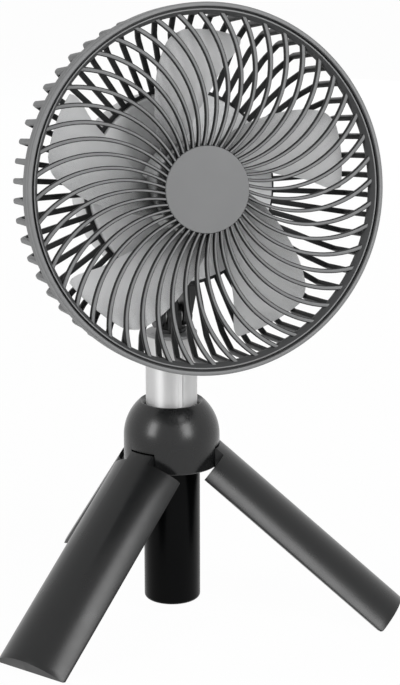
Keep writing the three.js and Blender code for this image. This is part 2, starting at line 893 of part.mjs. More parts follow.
function tiltWashers() {
  return [-1, 1].map((side, i) => {
    const solid = laidAlongX(ring(tiltPinRadius + fitGap, washerRadius, 0, washerThickness,
      smallFacets));
    const mesh = part(`tilt_washer_${i + 1}`, solid, steel);
    const inner = barrelHalfWidth + fitGap;
    mesh.position.set(side > 0 ? inner : -inner - washerThickness, -pivotDrop, -pivotBack);
    return mesh;
  });
}

function tiltPin() {
  const half = earOuter + fitGap;
  const solid = laidAlongX(turned([
    [0, -half - tiltHeadHeight],
    [tiltHeadRadius, -half - tiltHeadHeight],
    [tiltHeadRadius, -half],
    [tiltPinRadius, -half],
    [tiltPinRadius, half],
    [0, half],
  ], smallFacets));
  const mesh = part('tilt_pin', solid, steel);
  mesh.position.set(0, -pivotDrop, -pivotBack);
  return mesh;
}

// Mast: a grooved tube with a cap, a knuckle and a foot

function mastTube() {
  const tube = ring(mastInner, mastRadius, mastBottom, mastTop, tubeFacets);
  const grooveBottom = collarTop - collarHeight - mastTravel - fitGap;
  const groove = toSolid(box(grooveDepth * 2, grooveWidth, grooveBottom,
    mastTop + cutOverrun).translate(mastRadius, 0, 0));
  return part('mast_tube', tube.subtract(spun(groove, standTurn - Math.PI / 2)), satinAluminium);
}

function capScrewPlaces() {
  return [0, Math.PI].map((angle) => polar(capScrewOffset, angle + rad(capScrewTurnDeg)));
}

function mastCap() {
  const bottom = mastTop + fitGap;
  const cap = turned([
    [0, bottom - plugLength],
    [mastInner - fitGap, bottom - plugLength],
    [mastInner - fitGap, bottom],
    [mastRadius, bottom],
    [mastRadius, capTop - plateChamfer],
    [mastRadius - plateChamfer, capTop],
    [0, capTop],
  ], tubeFacets);
  const bore = disc(capScrewRadius + fitGap, capTop - capScrewLength - fitGap,
    capTop + cutOverrun, screwFacets);
  const bores = capScrewPlaces().map(([x, y]) => moved(bore, x, y, 0));
  return part('mast_cap', cap.subtract(joined(bores)), plateGrey);
}

function capScrews() {
  return capScrewPlaces().map(([x, y], i) => {
    const mesh = part(`cap_screw_${i + 1}`,
      disc(capScrewRadius, capTop - capScrewLength, capTop, screwFacets), jointBlack);
    mesh.position.set(x, y, 0);
    return mesh;
  });
}

function tiltKnuckle() {
  const base = disc(knuckleBaseRadius, capTop + fitGap, knuckleBaseTop, smallFacets);
  const barrel = moved(laidAlongX(disc(barrelRadius, -barrelHalfWidth, barrelHalfWidth,
    smallFacets)), 0, 0, pivotHeight);
  const web = toSolid(box(2 * barrelHalfWidth, 2 * barrelRadius, knuckleBaseTop - fitGap,
    pivotHeight));
  const hole = moved(laidAlongX(disc(tiltPinRadius + fitGap, -barrelHalfWidth - cutOverrun,
    barrelHalfWidth + cutOverrun, smallFacets)), 0, 0, pivotHeight);
  return part('tilt_knuckle', joined([base, web, barrel]).subtract(hole), jointBlack);
}

function mastFoot() {
  const solid = turned([
    [0, mastFootBottom],
    [mastRadius, mastFootBottom],
    [mastRadius, mastFootBottom + mastFootHeight],
    [mastInner - fitGap, mastFootBottom + mastFootHeight],
    [mastInner - fitGap, mastFootBottom + mastFootHeight + plugLength],
    [0, mastFootBottom + mastFootHeight + plugLength],
  ], tubeFacets);
  return part('mast_foot', solid, jointBlack);
}

// Stand: sleeve, collar, hub and legs

function mastSleeve() {
  const outside = Array.from({ length: 4 }, (_, i) => {
    const angle = -Math.PI / 2 * (1 - i / 3);
    return [
      sleeveRadius - sleeveFillet + sleeveFillet * Math.cos(angle),
      sleeveBottom + sleeveFillet + sleeveFillet * Math.sin(angle),
    ];
  });
  const solid = turned([
    [0, sleeveBottom],
    ...outside,
    [sleeveRadius, sleeveTop],
    [sleeveInner, sleeveTop],
    [sleeveInner, sleeveBottom + sleeveFloor],
    [0, sleeveBottom + sleeveFloor],
  ], tubeFacets);
  return part('mast_sleeve', solid, sleeveBlack);
}

function hubCollar() {
  const inner = mastRadius + fitGap;
  const bottom = collarTop - collarHeight;
  const collar = ring(inner, sleeveRadius, bottom, collarTop, tubeFacets);
  const reach = (sleeveRadius - mastRadius) / 2 + keyReach;
  const key = toSolid(box(reach, keyWidth, bottom, collarTop)
    .translate(mastRadius - keyReach / 2 + reach / 2, 0, 0));
  return part('hub_collar', collar.add(spun(key, standTurn - Math.PI / 2)), jointBlack);
}

function hubOutline() {
  const end = Math.acos(hubRimRadius / hubRadius);
  const dome = Array.from({ length: domeSteps + 1 }, (_, i) => {
    const angle = end * i / domeSteps;
    return [hubRadius * Math.cos(angle), hubCentre + hubRadius * Math.sin(angle)];
  });
  return [
    [hubBore, skirtBottom],
    [hubRadius, skirtBottom],
    ...dome,
    [hubThroat, dishBottom],
    [hubThroat, dishBottom - hubLipHeight],
    [hubBore, dishBottom - hubLipHeight],
  ];
}

function legAngle(index) {
  return standTurn + Math.PI / 2 + index * 2 * Math.PI / legCount;
}

function hub() {
  const body = turned(hubOutline(), tubeFacets);
  const slotLength = hubRadius - hubBore / 2;
  const slot = toSolid(box(slotLength, slotWidth, skirtBottom - cutOverrun, slotTop)
    .translate(hubBore / 2 + slotLength / 2 + cutOverrun, 0, 0));
  const bore = toGeometry(disc(pinRadius + fitGap, -pinLength / 2 - fitGap,
    pinLength / 2 + fitGap, screwFacets)).rotateX(Math.PI / 2);
  const pinHole = toSolid(bore.translate(pinOffset, 0, pinHeight));
  const cut = slot.add(pinHole);
  const cuts = Array.from({ length: legCount }, (_, i) => spun(cut, legAngle(i)));
  return part('leg_hub', body.subtract(joined(cuts)), standCharcoal);
}

// A leg in its own frame: the pin lies along Y at the origin, the leg hangs down -Z
// and its outer face looks along +X.

function legArc() {
  const shape = new THREE.Shape();
  shape.absarc(0, 0, legRadius, -legHalfAngle, legHalfAngle, false);
  return shape;
}

function legShell() {
  const shape = new THREE.Shape();
  shape.absarc(0, 0, legRadius, -legHalfAngle, legHalfAngle, false);
  shape.absarc(0, 0, legRadius - legWall, legHalfAngle, -legHalfAngle, true);
  const wall = prism(shape, -legLength, -legShoulder, legArcSteps);
  const end = prism(legArc(), -legLength, -legLength + legEndWall, legArcSteps);
  const shell = toSolid(wall).add(toSolid(end));
  return moved(shell, -pinOffset, 0, 0);
}

function legTongue() {
  const outer = legRadius - pinOffset;
  const plate = prism([
    [0, knuckleRadius],
    [outer, -tongueStart],
    [outer, -tongueRoot],
    [outer - legWall, -tongueRoot],
    [-tongueBack, -tongueDrop],
    [-tongueBack, 0],
  ], -tongueWidth / 2, tongueWidth / 2);
  const knuckle = disc(knuckleRadius, -tongueWidth / 2, tongueWidth / 2, smallFacets);
  const both = toSolid(plate).add(knuckle);
  const upright = toSolid(toGeometry(both).rotateX(Math.PI / 2));
  const round = toSolid(prism(legArc(), -tongueRoot - cutOverrun, knuckleRadius + cutOverrun,
    legArcSteps));
  return upright.intersect(moved(round, -pinOffset, 0, 0));
}

// Rounds the leg's four corners as seen from outside.
function legCornerCutter() {
  const half = legHalfWidth;
  const r = legCornerRadius;
  const shape = new THREE.Shape();
  shape.absarc(half - r, -legShoulder - r, r, 0, Math.PI / 2, false);
  shape.absarc(-half + r, -legShoulder - r, r, Math.PI / 2, Math.PI, false);
  shape.absarc(-half + r, -legLength + r, r, Math.PI, 3 * Math.PI / 2, false);
  shape.absarc(half - r, -legLength + r, r, 3 * Math.PI / 2, 2 * Math.PI, false);
  const blank = prism(shape, -legRadius, legRadius, 4);
  return toSolid(blank.rotateX(Math.PI / 2).rotateZ(Math.PI / 2));
}

// The leg's lowest edge is cut flat where it stands on the ground.
function legGroundCutter() {
  const size = 2 * legRadius;
  const across = legLength * Math.sin(splay) + chordToPin * Math.cos(splay);
  const block = box(size, size, -size, 0).translate(across, 0, -pinHeight);
  return toSolid(block.rotateY(splay));
}

function legSolid() {
  const pinHole = toGeometry(disc(pinRadius + fitGap, -tongueWidth, tongueWidth, screwFacets))
    .rotateX(Math.PI / 2);
  return legShell().intersect(legCornerCutter())
    .add(legTongue())
    .subtract(toSolid(pinHole))
    .subtract(legGroundCutter());
}

const legNames = ['back', 'left', 'right'];

function leg(name) {
  const folded = new THREE.Group();
  const shell = part(`leg_${name}`, legSolid(), standCharcoal);
  shell.rotation.y = -splay;
  const pinTurned = toGeometry(disc(pinRadius, -pinLength / 2, pinLength / 2, screwFacets))
    .rotateX(Math.PI / 2);
  const pin = part(`leg_pin_${name}`, toSolid(pinTurned), steel);
  folded.add(shell, pin);
  folded.position.set(pinOffset, 0, pinHeight);
  const turned = new THREE.Group();
  turned.add(folded);
  return turned;
}

function stand() {
  const group = new THREE.Group();
  group.add(mastSleeve(), hubCollar(), hub());
  legNames.forEach((name, i) => {
    const placed = leg(name);
    placed.rotation.z = legAngle(i);
    group.add(placed);
  });
  return group;
}

function mast() {
  const group = new THREE.Group();
  group.add(mastTube(), mastCap(), ...capScrews(), tiltKnuckle(), mastFoot());
  return group;
}

function head() {
  const frame = new THREE.Group();
  frame.add(
    frontGrille(), centrePlate(), rearGrille(),
    rearHousing(), rearCover(), ...coverScrews(),
    batteryCell('battery_cell_1', 1), batteryCell('battery_cell_2', -1),
    controlBoard(), powerButton(), indicatorLens(), chargeSocket(),
    bearingTube(), ...motorScrews(),
    bearing('front_bearing', frontBearingDepth), bearing('rear_bearing', rearBearingDepth),
    motorStator(), magnetRing(), rotorRing(), motorShaft(), shaftClip(), impeller(),
    yoke(), ...yokeScrews(), ...tiltWashers(), tiltPin(),
  );
  frame.position.set(0, pivotDrop, pivotBack);
  const tilted = new THREE.Group();
  tilted.add(frame);
  tilted.rotation.x = Math.PI / 2 - tilt;
  tilted.position.set(0, 0, pivotHeight);
  return tilted;
}

const fan = new THREE.Group();
fan.add(stand(), mast(), head());

// Centre the footprint on the origin.
fan.updateMatrixWorld(true);
const bounds = new THREE.Box3().setFromObject(fan, true);
fan.position.set(-(bounds.min.x + bounds.max.x) / 2, -(bounds.min.y + bounds.max.y) / 2, 0);

export default fan;
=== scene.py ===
# Looks of a portable camping fan on a folding tripod stand.
# Sizes are in millimetres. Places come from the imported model: the head's frame from the
# blade spin joint, the mast's axis from the mast tube, each leg's frame from its fold joint.
import json
import math

import bmesh
import bpy
from mathutils import Matrix, Vector


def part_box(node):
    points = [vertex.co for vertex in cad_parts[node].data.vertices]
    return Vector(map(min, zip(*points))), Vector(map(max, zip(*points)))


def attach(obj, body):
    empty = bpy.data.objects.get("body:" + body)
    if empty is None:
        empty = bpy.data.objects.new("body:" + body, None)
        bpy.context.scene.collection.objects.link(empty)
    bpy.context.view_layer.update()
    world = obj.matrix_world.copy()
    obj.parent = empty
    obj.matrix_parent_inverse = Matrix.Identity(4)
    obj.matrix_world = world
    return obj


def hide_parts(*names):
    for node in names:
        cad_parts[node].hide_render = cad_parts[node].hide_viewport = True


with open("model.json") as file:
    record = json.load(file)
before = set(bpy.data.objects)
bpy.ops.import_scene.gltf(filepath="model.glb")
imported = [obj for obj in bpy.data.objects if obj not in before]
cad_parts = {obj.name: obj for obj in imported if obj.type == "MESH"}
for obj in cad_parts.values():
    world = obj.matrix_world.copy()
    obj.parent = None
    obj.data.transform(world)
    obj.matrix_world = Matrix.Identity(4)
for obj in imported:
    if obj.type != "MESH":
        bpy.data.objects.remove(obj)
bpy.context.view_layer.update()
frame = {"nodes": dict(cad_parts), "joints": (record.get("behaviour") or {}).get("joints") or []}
joints = {joint["name"]: joint for joint in frame["joints"]}
scene = bpy.context.scene
scene.view_settings.view_transform = "Standard"

MM = 0.001
GAP = 0.3
OVERRUN = 1
FINE_EDGE = 0.2
SOFT_EDGE = 0.3
ROUND_EDGE = 0.5
ROUND_SEGMENTS = 192
RING_SEGMENTS = 240
DRUM_SEGMENTS = 144
SMALL_SEGMENTS = 96
MERGE_DISTANCE = 0.0001
UP = Vector((0, 0, 1))
UPRIGHT = Matrix.Rotation(math.pi / 2, 4, "X")

# Angles in degrees from which an edge counts as a corner, when shaded or bevelled
CORNER_ANGLE = 35
GROOVE_CORNER_ANGLE = 25
MOULDED_CORNER_ANGLE = 40
FIN_CORNER_ANGLE = 50
BEVEL_ANGLE = 50

# Legs
LEG_RADIUS = 25.7
LEG_WALL = 2.2
LEG_HALF_ANGLE = math.radians(59.2)
LEG_LENGTH = 128.2
LEG_SPLAY = math.radians(49.3)
LEG_END_WALL = 3
LEG_CORNER = 1.2
LEG_SHOULDER = 7.7
LEG_EDGE = 0.45
LEG_STEPS = 40
PIN_OFFSET = 17.8
KNUCKLE_RADIUS = 2.9
TONGUE_WIDTH = 14.4
TONGUE_START = 3.4
TONGUE_ROOT = 14
TONGUE_BACK = 2.2
TONGUE_DROP = 8
TONGUE_HEEL = 2
TONGUE_FRONT_EDGE = 1.4
TONGUE_BACK_EDGE = 1.5

# Hub, collar and sleeve
HUB_RADIUS = 24.8
HUB_SKIRT = 14.8
HUB_PIN_RISE = 6.7
HUB_RIM_RADIUS = 16.2
HUB_DISH = 1.9
HUB_LIP = 1.7
HUB_SKIRT_EDGE = 0.9
HUB_STEPS = 24
HUB_RIM_EDGE = 0.8
HUB_BORE_EDGE = 0.4
SLOT_RISE = 4.3
SLOT_WIDTH = TONGUE_WIDTH + 2 * GAP
SLEEVE_RADIUS = 14.6
SLEEVE_WALL = 1
SLEEVE_FLOOR = 2
SLEEVE_FILLET = 2

# Mast
MAST_RADIUS = 13.25
MAST_WALL = 1.2
GROOVE_WIDTH = 2.4
GROOVE_DEPTH = 0.6
GROOVE_LIP = 0.25
GROOVE_TURN = math.radians(-86.4)
MAST_TRAVEL = 60
MAST_SEGMENTS = 180
CAP_PLUG_EDGE = 0.4
CAP_SEAT_EDGE = 0.1

# Front grille
RING_RADIUS = 90
BEAD_WIDTH = 2.4
BEAD_RISE = 2
RING_GROOVE = 0.8
GROOVE_FLOOR = -0.9
RIDGE_WIDTH = 0.65
SLOPE_TOP = 0.9
SLOPE_WIDTH = 1.95
INNER_DROP = 2.6
RING_BACK = 1.9
RING_UNDER = 4.45
LIP_RADIUS = 86.8
BEAD_INNER_EDGE = 0.9
BEAD_OUTER_EDGE = 1.3
SPOKES = 48
SPOKE_ARC = 55.1
SPOKE_ARC_OFFSET = 65.15
SPOKE_TURN = math.radians(62.06)
SPOKE_WIDTH = 1.55
SPOKE_FLARE = 0.85
SPOKE_DEPTH = 3.2
SPOKE_DROP = 1.1
SPOKE_CROWN = 0.8
SPOKE_CROWN_STEPS = 6
SPOKE_BOTTOM_SHARE = 0.8
SPOKE_STEPS = 26
SPOKE_INSET = 2
PLATE_RADIUS = 21.2
PLATE_THICKNESS = 1.4
PLATE_DROP = 0.8
PLATE_EDGE = 0.4
SEAT_RADIUS = 21.6
SEAT_TOP = -PLATE_DROP - PLATE_THICKNESS - GAP
SPOKE_BOTTOM = -SPOKE_DROP - SPOKE_DEPTH

# Rear grille
BAND_RADIUS = 89.9
BAND_THICKNESS = 2.5
BAND_DEPTH = 6.2
BAND_EDGE = 0.6
RIBS = 56
RIB_WIDTH = 2.75
RIB_THICKNESS = 3
RIB_TURN = math.radians(0.67)
RIB_RING_WIDTH = 1.9
RIB_RING_DEPTH = 2.4
RIB_RING_FRONT = 45
RIB_RING_EDGE = 0.4
RIB_EDGE = 0.85
RIB_START_RADIUS = 88.9
RIB_START_DEPTH = 5
RIB_SIDE_RADIUS = 88.8
RIB_SIDE_DEPTH = 14
RIB_SHOULDER_RADIUS = 87.6
RIB_SHOULDER_DEPTH = 38
RIB_BEND = 5
RIB_HIP_RADIUS = 77
RIB_HIP_DEPTH = 46
RIB_HIP_BEND = 7
RIB_END_DEPTH = 47.2

# Housing
HOUSING_RADIUS = 47.4
HOUSING_WALL = 2
HOUSING_FRONT = 41
HOUSING_BACK = 76
HOUSING_EDGE = 1
COVER_FRONT = -HOUSING_BACK - GAP
COVER_THICKNESS = 2.7
COVER_BACK = COVER_FRONT - COVER_THICKNESS
COVER_EDGE = 1.2
COVER_HOLE_EDGE = 0.25
BOSS_CIRCLE = 41.5
BOSSES = 4
SCREW_HEAD_RADIUS = 2.5
SCREW_HEAD_HEIGHT = 1.5
SCREW_HEAD_EDGE = 0.45
SCREW_SEAT_EDGE = 0.15
SCREW_RADIUS = 1.2
SCREW_LENGTH = 11
SCREW_SEGMENTS = 40
HOLE_SEGMENTS = 32
CROSS_WIDTH = 0.55
CROSS_LENGTH_SHARE = 1.25
CROSS_DEPTH_SHARE = 0.6
CROSS_TURNS = (30, 120)
BUTTON_RADIUS = 6
BUTTON_PROUD = 1
BUTTON_DISH = 0.35
BUTTON_DISH_SLOPE = 0.2
BUTTON_DISH_FLOOR_RADIUS = 3.4
BUTTON_DISH_FLOOR_EDGE = 0.8
BUTTON_DISH_RADIUS = 4.3
BUTTON_DISH_EDGE = 0.4
BUTTON_FLANGE_RADIUS = 7.2
BUTTON_FLANGE = 1.3
BUTTON_STEM_RADIUS = 2
BUTTON_STEM = 1.6
BUTTON_OFFSET = 14
LENS_RADIUS = 1.5
LENS_OFFSET = 25
SOCKET_WIDTH = 8.9
SOCKET_HEIGHT = 3.2
SOCKET_OFFSET = 14

# Impeller
IMPELLER_HUB = 23
IMPELLER_HUB_FRONT = 13
IMPELLER_HUB_BACK = 36.9
IMPELLER_WALL = 1.3
IMPELLER_FRONT_WALL = 1.6
IMPELLER_EDGE = 1.5
BLADES = 5
BLADE_TIP = 77.5
BLADE_ROOT = 22.4
BLADE_THICKNESS = 1.3
BLADE_EDGE_SHARE = 0.3
BLADE_ROWS = 30
BLADE_COLUMNS = 14
BLADE_ROW_POWER = 1.5
BLADE_TIP_TAPER = 2
BLADE_LEAD_DEPTH = 24
BLADE_TRAIL_DEPTH = 14
BLADE_ROOT_TWIST = 5
BLADE_TURN = -3
BLADE_RADIUS_SHARES = [0, 0.25, 0.47, 0.68, 0.86, 0.955, 1]
BLADE_LEAD_DEGREES = [24, 13, 6.5, 3, -0.5, -1.2, -0.5]
BLADE_TRAIL_DEGREES = [69, 55.5, 46, 39, 33, 29, 24]

# Photograph's camera
IMAGE_WIDTH = 400
IMAGE_HEIGHT = 685
SENSOR = 36
FOCAL_PIXELS = 2479.3
PRINCIPAL_X = 215.66
PRINCIPAL_Y = 292.37
CAMERA_FROM_MAST = (-371.93, -1167.18, 484.95)
CAMERA_TURN = math.radians(-18.739)
CAMERA_RISE = math.radians(14.413)

# Studio, with its lengths in metres
WORLD_LIGHT = 0.12
FLOOR_GREY = 0.8
FLOOR_GLOW = 0.98
FLOOR_REACH = 6
LAMP_AIM = 0.16

# Finishes: noise scales are per metre, depths and the reach of openness in millimetres.
COOLNESS = 0.6
SHADE_RANGE = (0.3, 0.7)
CLOUD_SCALE = 38
GLOSS_SCALE = 90
GRAIN_SCALE = 1900
GRAIN_STRENGTH = 0.35
GLOSS_SPREAD = 0.05
FILM_GLOSS_SCALE = 140
FILM_GLOSS_SPREAD = 0.06
FILM_GRAIN_SCALE = 900
FILM_GRAIN_STRENGTH = 0.2
FILM_GRAIN = 0.01
LINE_SCALE = 260
LINE_SHADE = 5
LINE_STRENGTH = 0.25
LINE_DEPTH = 0.004
ACROSS_TANGENT = 0.25
# Painted shade: the share of light kept on the fins' flanks, and how far the openness looks for
# the fins, the ring and the pale parts.
OPENNESS_SAMPLES = 8
FIN_FLANK_SHARE = 0.13
FIN_OPENNESS = 5
RING_OPENNESS = 3
PALE_OPENNESS = 22
LEG_END_FACING = -0.7

# Where painted light or painted shade starts and where it is full: in facing or openness,
# and CAGE_OUTSIDE in millimetres from the head's axis.
FIN_RIDGE = (0.72, 0.97)
FIN_OPEN = (0.25, 0.7)
RING_FRONT = (0.7, 0.97)
RING_SIDE = (-0.1, 0.5)
RING_OPEN = (0.2, 0.8)
CAGE_BACK = (0.2, 0.8)
CAGE_SIDE = (0.3, 0.8)
CAGE_FLANK = (-0.6, -0.1)
CAGE_OUTSIDE = (83, 86)
PALE_OPEN = (0.2, 0.75)


# Frames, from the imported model

def columns(x, y, z, origin):
    matrix = Matrix((x, y, z)).transposed().to_4x4()
    matrix.translation = origin
    return matrix


def head_frame():
    spin = joints["blade_spin"]
    forward = Vector(spin["axis"]).normalized()
    right = Vector((1, 0, 0))
    return columns(right, forward.cross(right), forward, Vector(spin["pos_m"]))


def mast_frame():
    low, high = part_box("mast_tube")
    return Matrix.Translation(((low.x + high.x) / 2, (low.y + high.y) / 2, 0))


def leg_axes(name):
    across = Vector(joints[f"leg_fold_{name}"]["axis"]).normalized()
    return across.cross(UP), across


def leg_frame(name):
    out, across = leg_axes(name)
    outward = out * math.cos(LEG_SPLAY) + UP * math.sin(LEG_SPLAY)
    along = UP * math.cos(LEG_SPLAY) - out * math.sin(LEG_SPLAY)
    return columns(outward, across, along, Vector(joints[f"leg_fold_{name}"]["pos_m"]))


HEAD = head_frame()
HEAD_AXIS = tuple(HEAD.col[2].xyz)
MAST = mast_frame()
LEGS = {name: leg_frame(name) for name in ("back", "left", "right")}
PIN_HEIGHT = joints["leg_fold_back"]["pos_m"][2] / MM


def on_head(x, y, z=0):
    return HEAD @ Matrix.Translation((x * MM, y * MM, z * MM))


# Camera

def make_camera():
    data = bpy.data.cameras.new("photo_camera")
    data.sensor_fit = "HORIZONTAL"
    data.sensor_width = SENSOR
    data.lens = FOCAL_PIXELS / IMAGE_WIDTH * SENSOR
    data.shift_x = (IMAGE_WIDTH / 2 - PRINCIPAL_X) / IMAGE_WIDTH
    data.shift_y = (PRINCIPAL_Y - IMAGE_HEIGHT / 2) / IMAGE_WIDTH
    turn, rise = CAMERA_TURN, CAMERA_RISE
    right = Vector((math.cos(turn), math.sin(turn), 0))
    level = math.cos(rise)
    back = Vector((math.sin(turn) * level, -math.cos(turn) * level, math.sin(rise)))
    camera = bpy.data.objects.new("photo_camera", data)
    scene.collection.objects.link(camera)
    place = MAST.translation + Vector(CAMERA_FROM_MAST) * MM
    camera.matrix_world = columns(right, back.cross(right), back, place)
    scene.camera = camera
    return camera


camera = make_camera()


# Outlines

def polar(radius, angle):
    return radius * math.cos(angle), radius * math.sin(angle)


def arc(centre, radius, start, end, steps):
    points = []
    for i in range(steps + 1):
        x, y = polar(radius, start + (end - start) * i / steps)
        points.append((centre[0] + x, centre[1] + y))
    return points


def circle(centre, radius, steps, start=0):
    return arc(centre, radius, start, start + 2 * math.pi, steps)[:-1]


# Rounds corners. Each point is (x, y) or (x, y, corner radius).
def rounded(points, steps=5, closed=True):
    result = []
    count = len(points)
    for i, point in enumerate(points):
        here = Vector(point[:2])
        radius = point[2] if len(point) > 2 else 0
        if not radius or (not closed and i in (0, count - 1)):
            result.append(tuple(here))
            continue
        before = Vector(points[i - 1][:2]) - here
        after = Vector(points[(i + 1) % count][:2]) - here
        half = before.angle(after) / 2
        reach = min(radius / math.tan(half), before.length / 2, after.length / 2)
        radius = reach * math.tan(half)
        before.normalize()
        after.normalize()
        centre = here + (before + after).normalized() * radius / math.sin(half)
        start = here + before * reach - centre
        end = here + after * reach - centre
        for k in range(steps + 1):
            spoke = start.lerp(end, k / steps).normalized() * radius
            result.append(tuple(centre + spoke))
    return result


# A strip of even thickness to the left of an open path.
def ribbon(path, thickness):
    points = [Vector(p) for p in path]
    left = []
    for i, point in enumerate(points):
        before = points[max(i - 1, 0)]
        after = points[min(i + 1, len(points) - 1)]
        along = (after - before).normalized()
        left.append(tuple(point + Vector((-along.y, along.x)) * thickness))
    return [tuple(p) for p in points] + left[::-1]


# Mesh builders

def turned(bm, outline, segments):
    rings = []
    for s in range(segments):
        angle = 2 * math.pi * s / segments
        rings.append([bm.verts.new((*polar(r, angle), z)) for r, z in outline])
    count = len(outline)
    for s in range(segments):
        here, there = rings[s], rings[(s + 1) % segments]
        for i in range(count):
            j = (i + 1) % count
            if outline[i][0] == 0 and outline[j][0] == 0:
                continue
            bm.faces.new((here[i], there[i], there[j], here[j]))
    bmesh.ops.remove_doubles(bm, verts=[v for ring in rings for v in ring], dist=MERGE_DISTANCE)


def prism(bm, outline, low, high, place=Matrix()):
    lower = [bm.verts.new(place @ Vector((x, y, low))) for x, y in outline]
    upper = [bm.verts.new(place @ Vector((x, y, high))) for x, y in outline]
    bm.faces.new(lower[::-1])
    bm.faces.new(upper)
    count = len(outline)
    for i in range(count):
        j = (i + 1) % count
        bm.faces.new((lower[i], lower[j], upper[j], upper[i]))


# A closed skin over rows of points, each row a ring.
def skinned(bm, rows):
    rings = [[bm.verts.new(p) for p in row] for row in rows]
    count = len(rings[0])
    for here, there in zip(rings, rings[1:]):
        for i in range(count):
            j = (i + 1) % count
            bm.faces.new((here[i], here[j], there[j], there[i]))
    bm.faces.new(rings[0][::-1])
    bm.faces.new(rings[-1])


def finished(name, bm, matrix, sharp=CORNER_ANGLE):
    bmesh.ops.recalc_face_normals(bm, faces=bm.faces)
    mesh = bpy.data.meshes.new(name)
    bm.to_mesh(mesh)
    bm.free()
    mesh.transform(matrix @ Matrix.Scale(MM, 4))
    mesh.shade_smooth()
    mesh.set_sharp_from_angle(angle=math.radians(sharp))
    obj = bpy.data.objects.new(name, mesh)
    scene.collection.objects.link(obj)
    return obj


def turned_piece(name, outline, matrix, segments=ROUND_SEGMENTS):
    bm = bmesh.new()
    turned(bm, outline, segments)
    return finished(name, bm, matrix)


def prism_piece(name, outline, low, high, matrix):
    bm = bmesh.new()
    prism(bm, outline, low, high)
    return finished(name, bm, matrix)


def box_piece(name, width, depth, low, high, matrix):
    half_x, half_y = width / 2, depth / 2
    outline = [(-half_x, -half_y), (half_x, -half_y), (half_x, half_y), (-half_x, half_y)]
    return prism_piece(name, outline, low, high, matrix)


def applied(obj):
    graph = bpy.context.evaluated_depsgraph_get()
    mesh = bpy.data.meshes.new_from_object(obj.evaluated_get(graph))
    obj.modifiers.clear()
    obj.data = mesh


def combined(obj, others, operation):
    for other in others:
        modifier = obj.modifiers.new("join", "BOOLEAN")
        modifier.object = other
        modifier.operation = operation
        modifier.solver = "EXACT"
    applied(obj)
    for other in others:
        bpy.data.objects.remove(other)


def smoothed(obj, sharp=CORNER_ANGLE):
    obj.data.shade_smooth()
    obj.data.set_sharp_from_angle(angle=math.radians(sharp))


def edged(obj, width, segments=2, angle=BEVEL_ANGLE):
    modifier = obj.modifiers.new("soft_edges", "BEVEL")
    modifier.width = width * MM
    modifier.segments = segments
    modifier.limit_method = "ANGLE"
    modifier.angle_limit = math.radians(angle)
    modifier.use_clamp_overlap = True
    applied(obj)
    smoothed(obj)


# Materials

def linear(grey):
    value = grey / 255
    return value / 12.92 if value <= 0.04045 else ((value + 0.055) / 1.055) ** 2.4


